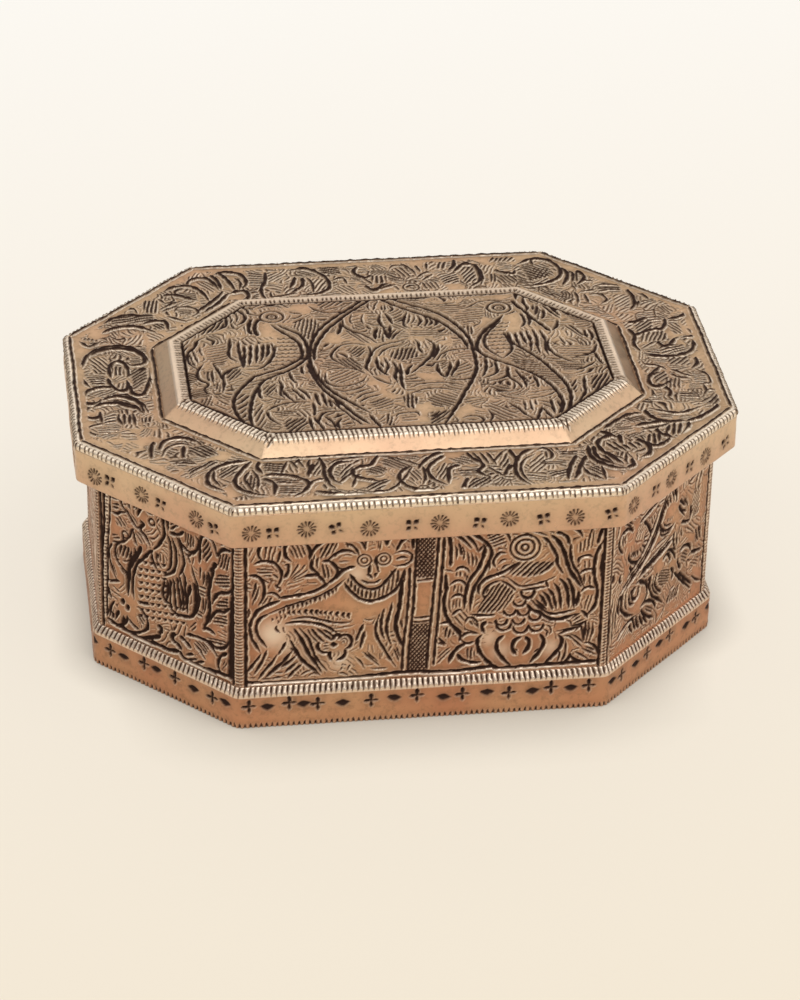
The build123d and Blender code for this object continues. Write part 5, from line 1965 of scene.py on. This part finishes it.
def hinge_notches(z, x, y):
    """The skirt's heights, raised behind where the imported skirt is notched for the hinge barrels."""
    points = node_points("lid_skirt")
    inwards, upwards = NOTCH_SEARCH
    edge = points[(points[:, 1] > skirt_high[1] - inwards) & (points[:, 2] > skirt_low[2] + upwards)]
    top = edge[:, 2].min()
    notch = edge[(edge[:, 2] < top + SAME_PLACE) & (edge[:, 0] > 0)]
    near, far = notch[:, 0].min(), notch[:, 0].max()
    behind = (np.abs(x) > near) & (np.abs(x) < far) & (y > 0)
    rise = (z - skirt_low[2]) * (skirt_high[2] - top) / (skirt_high[2] - skirt_low[2])
    return np.where(behind, top + rise, z)


def build_skirt(plate, pitch):
    """The lid's skirt: punched outside, plain inside, notched at the back for the hinge barrels."""
    inner = LID_OFFSET - SHEET
    corners = [(inner, skirt_low[2]), (LID_OFFSET, skirt_low[2]), (LID_OFFSET, skirt_high[2])]
    line, normals = rounded_profile(corners, (SKIRT_ROUNDING,), pitch)[:2]
    relief = run_relief(plate, LID_OFFSET, LID_BEND, line[:, 1])
    closing = np.array([(inner, skirt_high[2])])
    parts = sweep(range(8), (line, normals), closing, lambda o: LID_BEND - (LID_OFFSET - o), pitch, relief)
    sections = parts[0]
    sections[..., 2] = hinge_notches(sections[..., 2], sections[:, :1, 0], sections[:, :1, 1])
    return loft_piece("skirt", *parts)


# Lid: the border round the raised panel, the plain plate under it, and the panel itself.

def flat_relief(plate, spread):
    """Relief read from a plate that lies flat; spread is how much further out the unrolled profile lies."""
    def relief(side, u, place):
        outward = side_frame(side, 0)[2]
        x = place[..., 0] + outward[0] * spread
        y = place[..., 1] + outward[1] * spread
        return plate.read(x, y)
    return relief


BORDER_INNER = -0.7
BORDER_PARTS = {"front": (7, 0, 1), "right": (2,), "back": (3, 4, 5), "left": (6,)}


def build_border(part, plate, pitch):
    """One part of the lid's border, from under the raised panel out over the rounded edge."""
    inner = PANEL_FOOT + BORDER_INNER
    top, bottom = plate_high[2], plate_low[2]
    corners = [(inner, top), (LID_OFFSET, top), (LID_OFFSET, bottom)]
    line, normals, run = rounded_profile(corners, (LID_EDGE,), pitch)
    spread = inner + run - line[:, 0]
    closing = np.array([(inner, bottom)])
    parts = sweep(BORDER_PARTS[part], (line, normals), closing,
                  lambda o: max(0.0, LID_BEND - (LID_OFFSET - o)), pitch, flat_relief(plate, spread))
    return loft_piece("lid_border_" + part, *parts)


def octagon_slab(name, offset, top, bottom):
    """A plain eight-sided slab: four cross-sections along its length."""
    corners = outline_corners(offset)
    x, y = corners[[6, 0, 1, 2]].T
    y = np.abs(y)
    sections = np.empty((4, 4, 3))
    sections[:, :, 0] = x[:, None]
    sections[:, :, 1] = np.stack([-y, y, y, -y], 1)
    sections[:, :, 2] = (top, top, bottom, bottom)
    plain = np.full((4, 4), PLAIN_DIRT)
    return loft_piece(name, sections, np.zeros(4, bool), False, plain, plain * 0)


FIELD_INSET = 3.2
PANEL_ROUNDING = 1.0
PANEL_BEND = 0.8
PANEL_BEND_REACH = 2.5


def build_panel_edge(plate, pitch):
    """The raised panel's bevel and the flat just inside its edge."""
    crown = PANEL_FOOT - PANEL_BEVEL
    field = crown - FIELD_INSET
    top, bottom = panel_high[2], panel_low[2]
    corners = [(PANEL_FOOT, bottom), (crown, top), (field, top)]
    line, normals = rounded_profile(corners, (PANEL_ROUNDING,), pitch)[:2]
    normals = -normals if normals[len(line) // 2, 1] < 0 else normals
    closing = np.array([
        (field, top - PANEL_SHEET), (crown, top - PANEL_SHEET), (PANEL_FOOT - PANEL_SHEET, bottom)])
    parts = sweep(range(8), (line, normals), closing,
                  lambda o: PANEL_BEND * min(max((o - field) / PANEL_BEND_REACH, 0), 1), pitch,
                  flat_relief(plate, 0))
    return loft_piece("raised_panel_edge", *parts)


def build_panel_field(plate, pitch):
    """The engraved middle of the raised panel: a grid whose columns end on the eight-sided outline."""
    field = PANEL_FOOT - PANEL_BEVEL - FIELD_INSET
    corners = outline_corners(field)
    x_end, x_turn = corners[2][0], corners[1][0]
    y_side, y_end = corners[4][1], corners[3][1]
    x = even_steps(-x_end, x_end, pitch)
    reach = np.interp(np.abs(x), (0, x_turn, x_end), (y_side, y_side, y_end))
    share = np.linspace(-1, 1, int(2 * y_side / pitch) + 1)
    y = reach[:, None] * share
    grid = np.empty((len(x), len(share) + 2, 3))
    grid[:, :, 0] = x[:, None]
    grid[:, :-2, 1] = y
    grid[:, -2, 1] = reach
    grid[:, -1, 1] = -reach
    height, dirt, rub_and_highlight = plate.read(grid[:, :-2, 0], y)
    grid[:, :-2, 2] = panel_high[2] + height
    grid[:, -2:, 2] = panel_high[2] - PANEL_SHEET
    smooth = np.arange(len(share) + 2) < len(share) - 1
    dirt, rub_and_highlight = with_plain(dirt, 2, PLAIN_DIRT), with_plain(rub_and_highlight, 2)
    return loft_piece("raised_panel_field", grid, smooth, False, dirt, rub_and_highlight)


# Materials.

def set_socket(tree, socket, value):
    """Links a socket to another one, or gives it a number or a colour."""
    if isinstance(value, bpy.types.NodeSocket):
        tree.links.new(value, socket)
    else:
        socket.default_value = value


def opaque(value):
    """A colour with full alpha; a socket stays as it is."""
    return value if isinstance(value, bpy.types.NodeSocket) else (*value[:3], 1)


def new_tree(material):
    """The emptied node tree of a material or a world."""
    material.use_nodes = True
    material.node_tree.nodes.clear()
    return material.node_tree


def mix_colours(tree, share, first, second):
    """A colour mix of two colours or sockets by a share socket."""
    node = tree.nodes.new("ShaderNodeMix")
    node.data_type = "RGBA"
    tree.links.new(share, node.inputs[0])
    set_socket(tree, node.inputs[6], opaque(first))
    set_socket(tree, node.inputs[7], opaque(second))
    return node.outputs[2]


def mix_shaders(tree, share, first, second):
    """A mix of two shader nodes by a share socket."""
    mix = tree.nodes.new("ShaderNodeMixShader")
    tree.links.new(share, mix.inputs[0])
    tree.links.new(first.outputs[0], mix.inputs[1])
    tree.links.new(second.outputs[0], mix.inputs[2])
    return mix.outputs[0]


def map_range(tree, value, from_low, from_high, to_low, to_high):
    """A value carried from one range to another and held inside it."""
    node = tree.nodes.new("ShaderNodeMapRange")
    tree.links.new(value, node.inputs[0])
    for socket, number in zip(node.inputs[1:5], (from_low, from_high, to_low, to_high)):
        socket.default_value = number
    return node.outputs[0]


def arithmetic(tree, operation, first, second):
    """A sum or product of two sockets or numbers."""
    node = tree.nodes.new("ShaderNodeMath")
    node.operation = operation
    set_socket(tree, node.inputs[0], first)
    set_socket(tree, node.inputs[1], second)
    return node.outputs[0]


def noise(tree, coordinates, scale, detail=3.0, roughness=0.55):
    """A noise texture's value on given coordinates; scale is in cells per metre."""
    node = tree.nodes.new("ShaderNodeTexNoise")
    tree.links.new(coordinates, node.inputs["Vector"])
    node.inputs["Scale"].default_value = scale
    node.inputs["Detail"].default_value = detail
    node.inputs["Roughness"].default_value = roughness
    return node.outputs[0]


def attribute(tree, name):
    """A piece's own attribute as a value."""
    node = tree.nodes.new("ShaderNodeAttribute")
    node.attribute_name = name
    return node.outputs["Fac"]


def object_place(tree):
    """A piece's own places, and a node that parts them into X, Y and Z."""
    place = tree.nodes.new("ShaderNodeTexCoord").outputs["Object"]
    split = tree.nodes.new("ShaderNodeSeparateXYZ")
    tree.links.new(place, split.inputs[0])
    return place, split


# The brass: the heights between which the copper tint, painted low down as a reflection of the warm floor,
# turns to brass, in millimetres, and the grain of its tones, in cells per metre.
FULL_FLOOR_TINT_TOP = 56.0
FLOOR_TINT_END = 66.0
DRIFT_GRAIN = 30.0
ROUGH_GRAIN = 160.0
SPECKLE_GRAIN = 620.0
PITTING_GRAIN = 1500.0
PITTING = 0.00012


def brass_material(name, colours, worn_roughness, engraved=True):
    """Old brass: tone drifting between yellow and copper and redder low down as a painted floor reflection,
    pale ridges worn and highlighted, black fill in the cuts.
    """
    material = bpy.data.materials.new(name)
    tree = new_tree(material)
    output = tree.nodes.new("ShaderNodeOutputMaterial")
    shader = tree.nodes.new("ShaderNodeBsdfPrincipled")
    tree.links.new(shader.outputs[0], output.inputs[0])
    place, split = object_place(tree)
    # Copper low down and brass above: a painted reflection of the warm floor in the walls; the noise adds
    # the metal's own uneven tone.
    low = map_range(tree, split.outputs["Z"], FULL_FLOOR_TINT_TOP * MM, FLOOR_TINT_END * MM, 0.75, 0.1)
    tint_and_drift = map_range(tree, noise(tree, place, DRIFT_GRAIN), 0.3, 0.7, -0.3, 0.4)
    tint_and_drift = map_range(tree, arithmetic(tree, "ADD", low, tint_and_drift), 0.0, 1.0, 0.0, 1.0)
    speckle = noise(tree, place, SPECKLE_GRAIN, 4.0, 0.65)
    base = mix_colours(tree, tint_and_drift, colours["brass"], colours["copper"])
    tarnish = map_range(tree, speckle, 0.5, 0.72, 0.0, 0.45)
    base = mix_colours(tree, tarnish, base, colours["tarnish"])
    rough = noise(tree, place, ROUGH_GRAIN)
    rough = map_range(tree, rough, 0.3, 0.7, worn_roughness - 0.05, worn_roughness + 0.08)
    if engraved:
        dirt = attribute(tree, "dirt")
        rub_and_highlight = attribute(tree, "rub_and_highlight")
        # The ridges' worn metal and their painted highlight turn paler and a little glossier; the black
        # fill darkens the cuts.
        base = mix_colours(tree, map_range(tree, rub_and_highlight, 0.0, 1.0, 0.0, 0.95), base, colours["rubbed_and_highlit"])
        base = mix_colours(tree, dirt, base, colours["fill"])
        tree.links.new(map_range(tree, dirt, 0.3, 1.0, 0.5, 0.15), shader.inputs["Specular IOR Level"])
        rough = arithmetic(tree, "ADD", rough, map_range(tree, dirt, 0.0, 1.0, 0.0, 0.3))
        rough = arithmetic(tree, "SUBTRACT", rough, map_range(tree, rub_and_highlight, 0.0, 1.0, 0.0, 0.1))
        tree.links.new(map_range(tree, dirt, 0.3, 1.0, 1.0, 0.15), shader.inputs["Metallic"])
    else:
        shader.inputs["Metallic"].default_value = 1.0
    tree.links.new(base, shader.inputs["Base Color"])
    tree.links.new(rough, shader.inputs["Roughness"])
    bump = tree.nodes.new("ShaderNodeBump")
    bump.inputs["Strength"].default_value = 0.25
    bump.inputs["Distance"].default_value = PITTING
    tree.links.new(noise(tree, place, PITTING_GRAIN, 3.0), bump.inputs["Height"])
    tree.links.new(bump.outputs[0], shader.inputs["Normal"])
    return material


# The floor: the pale glow that the camera sees on it, and how far the shade of what stands on it reaches,
# in metres. Each pair is a place along Y and the reach there.
FLOOR_GLOW = 1.055
FLOOR_SHARE = 0.7
CONTACT_FRONT = (-0.07, 0.026)
CONTACT_SIDES = (-0.045, 0.012)


def stage_material(name, near, far, reach):
    """Matt paper whose colour drifts with the distance along Y, darker close to what stands on it."""
    material = bpy.data.materials.new(name)
    material.use_nodes = True
    tree = material.node_tree
    shader = tree.nodes["Principled BSDF"]
    shader.inputs["Roughness"].default_value = 0.9
    shader.inputs["Specular IOR Level"].default_value = 0.1
    along = object_place(tree)[1].outputs["Y"]
    share = map_range(tree, along, -reach, reach, 0.0, 1.0)
    colour = mix_colours(tree, share, near, far)
    tree.links.new(colour, shader.inputs["Base Color"])
    glow = tree.nodes.new("ShaderNodeEmission")
    contact = tree.nodes.new("ShaderNodeAmbientOcclusion")
    wide = map_range(tree, along, CONTACT_FRONT[0], CONTACT_SIDES[0], CONTACT_FRONT[1], CONTACT_SIDES[1])
    tree.links.new(wide, contact.inputs["Distance"])
    tree.links.new(colour, contact.inputs["Color"])
    tree.links.new(contact.outputs["Color"], glow.inputs["Color"])
    glow.inputs["Strength"].default_value = FLOOR_GLOW
    rays = tree.nodes.new("ShaderNodeLightPath")
    seen = arithmetic(tree, "MULTIPLY", rays.outputs["Is Camera Ray"], FLOOR_SHARE)
    mixed = mix_shaders(tree, seen, shader, glow)
    tree.links.new(mixed, tree.nodes["Material Output"].inputs[0])
    return material


def dress(piece, material, body, node):
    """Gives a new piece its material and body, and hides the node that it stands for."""
    piece.data.materials.append(material)
    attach(piece, body)
    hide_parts(node)


def redress(node, material):
    """Gives a carried-over CAD node a better material."""
    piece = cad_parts[node]
    piece.data.materials.clear()
    piece.data.materials.append(material)


# Settings, operators and panel.

def colour_setting(name, description, colour):
    """A colour that a user may change."""
    return bpy.props.FloatVectorProperty(
        name=name, description=description, subtype="COLOR", size=3, default=colour)


def angle_setting(name, description, degrees):
    """An angle that a user may change."""
    return bpy.props.FloatProperty(
        name=name, description=description, default=math.radians(degrees), subtype="ANGLE", unit="ROTATION")


class BRASSBOX_PG_settings(bpy.types.PropertyGroup):
    """Sizes and colours that a user would change."""

    pitch: bpy.props.FloatProperty(
        name="Mesh pitch", description="Distance between neighbouring places of the relief, in millimetres",
        default=0.26, min=0.15, max=2.0)
    brass: colour_setting("Brass", "Colour of the yellow brass", (0.68, 0.46, 0.275))
    # The redder tone, used at random and also painted low down as the warm floor's reflection.
    copper: colour_setting("Copper", "Colour of the redder stretches", (0.6, 0.3, 0.175))
    tarnish: colour_setting("Tarnish", "Colour of the dull specks", (0.25, 0.16, 0.09))
    # The pale colour of worn ridges, which also paints their highlight.
    rubbed_and_highlit: colour_setting("Rubbed ridges", "Colour of the worn ridges", (1.0, 0.87, 0.72))
    fill: colour_setting("Black fill", "Colour of the old black in the cuts", (0.032, 0.014, 0.009))
    floor_near: colour_setting("Floor, near", "Colour of the floor in front", (0.825, 0.71, 0.53))
    floor_far: colour_setting("Floor, far", "Colour of the floor behind", (1.0, 0.98, 0.94))
    camera_azimuth: angle_setting("Camera azimuth", "Turn of the camera round the box", -8.1)
    camera_elevation: angle_setting("Camera elevation", "Height of the camera above the horizon", 31.48)
    camera_roll: angle_setting("Camera roll", "Turn of the picture", 1.16)
    camera_distance: bpy.props.FloatProperty(
        name="Camera distance", description="From the aim point on the floor", default=1.0355,
        subtype="DISTANCE", unit="LENGTH")


def settings():
    """The scene's settings for this box."""
    return bpy.context.scene.brass_box


def palette():
    """The brass colours as plain tuples."""
    chosen = settings()
    return {key: tuple(getattr(chosen, key)) for key in ("brass", "copper", "tarnish", "rubbed_and_highlit", "fill")}


WORN_ROUGHNESS = {"engraved_brass": 0.36, "punched_brass": 0.33, "plain_brass": 0.42, "hinge_brass": 0.3}


def material_for(slot):
    """The material of a slot, made once."""
    name = "old_" + slot
    found = bpy.data.materials.get(name)
    if found:
        return found
    engraved = slot in ("engraved_brass", "punched_brass")
    return brass_material(name, palette(), WORN_ROUGHNESS[slot], engraved)


# The punched bands and the panel's field take a slightly coarser grid than the walls.
COARSER = 1.1


class BRASSBOX_OT_walls(bpy.types.Operator):
    """Builds the eight engraved sides of the wall"""

    bl_idname = "brass_box.walls"
    bl_label = "Engraved walls"

    def execute(self, context):
        for side in range(8):
            piece = build_wall(side, wall_plate(side), settings().pitch)
            dress(piece, material_for("engraved_brass"), "box", "body_wall")
        return {"FINISHED"}


class BRASSBOX_OT_foot(bpy.types.Operator):
    """Builds the punched foot band"""

    bl_idname = "brass_box.foot"
    bl_label = "Foot band"

    def execute(self, context):
        piece = build_foot(foot_plate(), settings().pitch * COARSER)
        dress(piece, material_for("punched_brass"), "box", "foot_band")
        return {"FINISHED"}


class BRASSBOX_OT_skirt(bpy.types.Operator):
    """Builds the lid's punched skirt"""

    bl_idname = "brass_box.skirt"
    bl_label = "Lid skirt"

    def execute(self, context):
        piece = build_skirt(skirt_plate(), settings().pitch * COARSER)
        dress(piece, material_for("punched_brass"), "lid", "lid_skirt")
        return {"FINISHED"}


class BRASSBOX_OT_lid(bpy.types.Operator):
    """Builds the lid's chased border and the plain plate under the raised panel"""

    bl_idname = "brass_box.lid"
    bl_label = "Lid border"

    def execute(self, context):
        plate = border_plate()
        for part in BORDER_PARTS:
            piece = build_border(part, plate, settings().pitch)
            dress(piece, material_for("engraved_brass"), "lid", "lid_plate")
        piece = octagon_slab("lid_plate_middle", PANEL_FOOT + BORDER_INNER, plate_high[2], plate_low[2])
        dress(piece, material_for("plain_brass"), "lid", "lid_plate")
        return {"FINISHED"}


class BRASSBOX_OT_panel(bpy.types.Operator):
    """Builds the raised panel with its bevel"""

    bl_idname = "brass_box.panel"
    bl_label = "Raised panel"

    def execute(self, context):
        plate = panel_plate()
        pitch = settings().pitch
        for piece in (build_panel_edge(plate, pitch), build_panel_field(plate, pitch * COARSER)):
            dress(piece, material_for("engraved_brass"), "lid", "lid_raised_panel")
        return {"FINISHED"}


class BRASSBOX_OT_fittings(bpy.types.Operator):
    """Gives the base sheet and the hinges their brass"""

    bl_idname = "brass_box.fittings"
    bl_label = "Base and hinges"

    def execute(self, context):
        redress("base_plate", material_for("plain_brass"))
        for side in ("left", "right"):
            for part in ("body_leaf", "lid_leaf", "pin", "body_rivets", "lid_rivets"):
                redress(f"{side}_hinge_{part}", material_for("hinge_brass"))
        return {"FINISHED"}


# Each lamp's place, the point that it is turned to, its two sizes, its power in watts and its colour.
LAMPS = {
    "key": ((0.15, -0.7, 1.05), (0, -0.1, 0.04), (2.0, 1.2), 9.5, (1.0, 0.97, 0.94)),
    "fill": ((1.0, -0.85, 0.6), (0, 0, 0.04), (1.2, 0.8), 1.1, (1.0, 0.98, 0.95)),
    "left": ((-1.0, 0, 0.92), (0, 0, 0.05), (1.0, 1.0), 1.7, (1.0, 0.96, 0.88)),
    "right": ((1.1, 0.15, 0.68), (0, 0, 0.05), (1.0, 0.7), 1.4, (1.0, 0.96, 0.88)),
    "back": ((0, 1.25, 1.0), (0, 0, 0.06), (2.4, 0.9), 4.5, (1.0, 0.97, 0.93)),
}
CAMERA_AIM = (0.00845, 0.04669, 0)
CAMERA_LENS = 129.6
CAMERA_SENSOR = 36
ROOM_COLOUR = (0.95, 0.93, 0.9, 1)
ROOM_LIGHT = 0.45
BACKDROP_COLOUR = (0.95, 0.93, 0.88, 1)
FLOOR_SIZE = 4.0
FLOOR_DRIFT = 0.5


def area_lamp(name, place, aim, size, power, colour):
    """A soft oblong lamp at a place, turned to its aim; lengths in metres."""
    lamp = bpy.data.lights.new(name, "AREA")
    lamp.shape = "RECTANGLE"
    lamp.size, lamp.size_y = size
    lamp.energy = power
    lamp.color = colour
    holder = bpy.data.objects.new(name, lamp)
    holder.location = place
    holder.rotation_euler = (Vector(aim) - Vector(place)).to_track_quat("-Z", "Y").to_euler()
    bpy.context.scene.collection.objects.link(holder)


def make_camera():
    """A camera on a sphere round its aim point, with the photograph's field of view and roll."""
    chosen = settings()
    az, el, roll = chosen.camera_azimuth, chosen.camera_elevation, chosen.camera_roll
    back = Vector((math.sin(az) * math.cos(el), -math.cos(az) * math.cos(el), math.sin(el)))
    right = Vector((math.cos(az), math.sin(az), 0))
    up = back.cross(right)
    right, up = right * math.cos(roll) + up * math.sin(roll), up * math.cos(roll) - right * math.sin(roll)
    place = Vector(CAMERA_AIM) + back * chosen.camera_distance
    camera = bpy.data.cameras.new("camera")
    camera.lens = CAMERA_LENS
    camera.sensor_width = CAMERA_SENSOR
    camera.clip_start, camera.clip_end = 0.05, 20
    holder = bpy.data.objects.new("camera", camera)
    holder.matrix_world = Matrix((
        (right.x, up.x, back.x, place.x), (right.y, up.y, back.y, place.y),
        (right.z, up.z, back.z, place.z), (0, 0, 0, 1)))
    bpy.context.scene.collection.objects.link(holder)
    bpy.context.scene.camera = holder


def world_background(tree, colour, strength):
    """A background of one colour and strength."""
    node = tree.nodes.new("ShaderNodeBackground")
    node.inputs["Color"].default_value = colour
    node.inputs["Strength"].default_value = strength
    return node


def make_world():
    """A soft even room, and a pale backdrop where the camera sees it."""
    world = bpy.data.worlds.new("studio")
    bpy.context.scene.world = world
    tree = new_tree(world)
    output = tree.nodes.new("ShaderNodeOutputWorld")
    room = world_background(tree, ROOM_COLOUR, ROOM_LIGHT)
    backdrop = world_background(tree, BACKDROP_COLOUR, 1.0)
    rays = tree.nodes.new("ShaderNodeLightPath")
    tree.links.new(mix_shaders(tree, rays.outputs["Is Camera Ray"], room, backdrop), output.inputs[0])


def make_floor():
    """A wide flat floor under the foot."""
    mesh = bpy.data.meshes.new("floor")
    corners = [(x * FLOOR_SIZE, y * FLOOR_SIZE, 0) for x, y in ((-1, -1), (1, -1), (1, 1), (-1, 1))]
    mesh.from_pydata(corners, [], [(0, 1, 2, 3)])
    floor = bpy.data.objects.new("floor", mesh)
    bpy.context.scene.collection.objects.link(floor)
    chosen = settings()
    mesh.materials.append(stage_material("floor_paper", chosen.floor_near, chosen.floor_far, FLOOR_DRIFT))


class BRASSBOX_OT_stage(bpy.types.Operator):
    """Makes the floor, the soft light and the camera"""

    bl_idname = "brass_box.stage"
    bl_label = "Stage"

    def execute(self, context):
        make_camera()
        make_world()
        make_floor()
        for name, lamp in LAMPS.items():
            area_lamp(name, *lamp)
        context.scene.view_settings.view_transform = "Standard"
        return {"FINISHED"}


STEPS = ("stage", "walls", "foot", "skirt", "lid", "panel", "fittings")


class BRASSBOX_PT_panel(bpy.types.Panel):
    """Lists the steps that build the box"""

    bl_label = "Brass Box"
    bl_idname = "BRASSBOX_PT_panel"
    bl_space_type = "VIEW_3D"
    bl_region_type = "UI"
    bl_category = "Brass Box"

    def draw(self, context):
        column = self.layout.column()
        for step in STEPS:
            column.operator("brass_box." + step)
        for key in BRASSBOX_PG_settings.__annotations__:
            column.prop(context.scene.brass_box, key)


CLASSES = (
    BRASSBOX_PG_settings, BRASSBOX_OT_stage, BRASSBOX_OT_walls, BRASSBOX_OT_foot, BRASSBOX_OT_skirt,
    BRASSBOX_OT_lid, BRASSBOX_OT_panel, BRASSBOX_OT_fittings, BRASSBOX_PT_panel,
)


def register():
    """Registers the classes and the settings."""
    for kind in CLASSES:
        bpy.utils.register_class(kind)
    bpy.types.Scene.brass_box = bpy.props.PointerProperty(type=BRASSBOX_PG_settings)


def unregister():
    """Takes the settings and the classes away again."""
    del bpy.types.Scene.brass_box
    for kind in reversed(CLASSES):
        bpy.utils.unregister_class(kind)


def main():
    """Runs every step in order."""
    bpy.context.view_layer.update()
    register()
    for step in STEPS:
        getattr(bpy.ops.brass_box, step)()


if __name__ == "__main__":
    main()
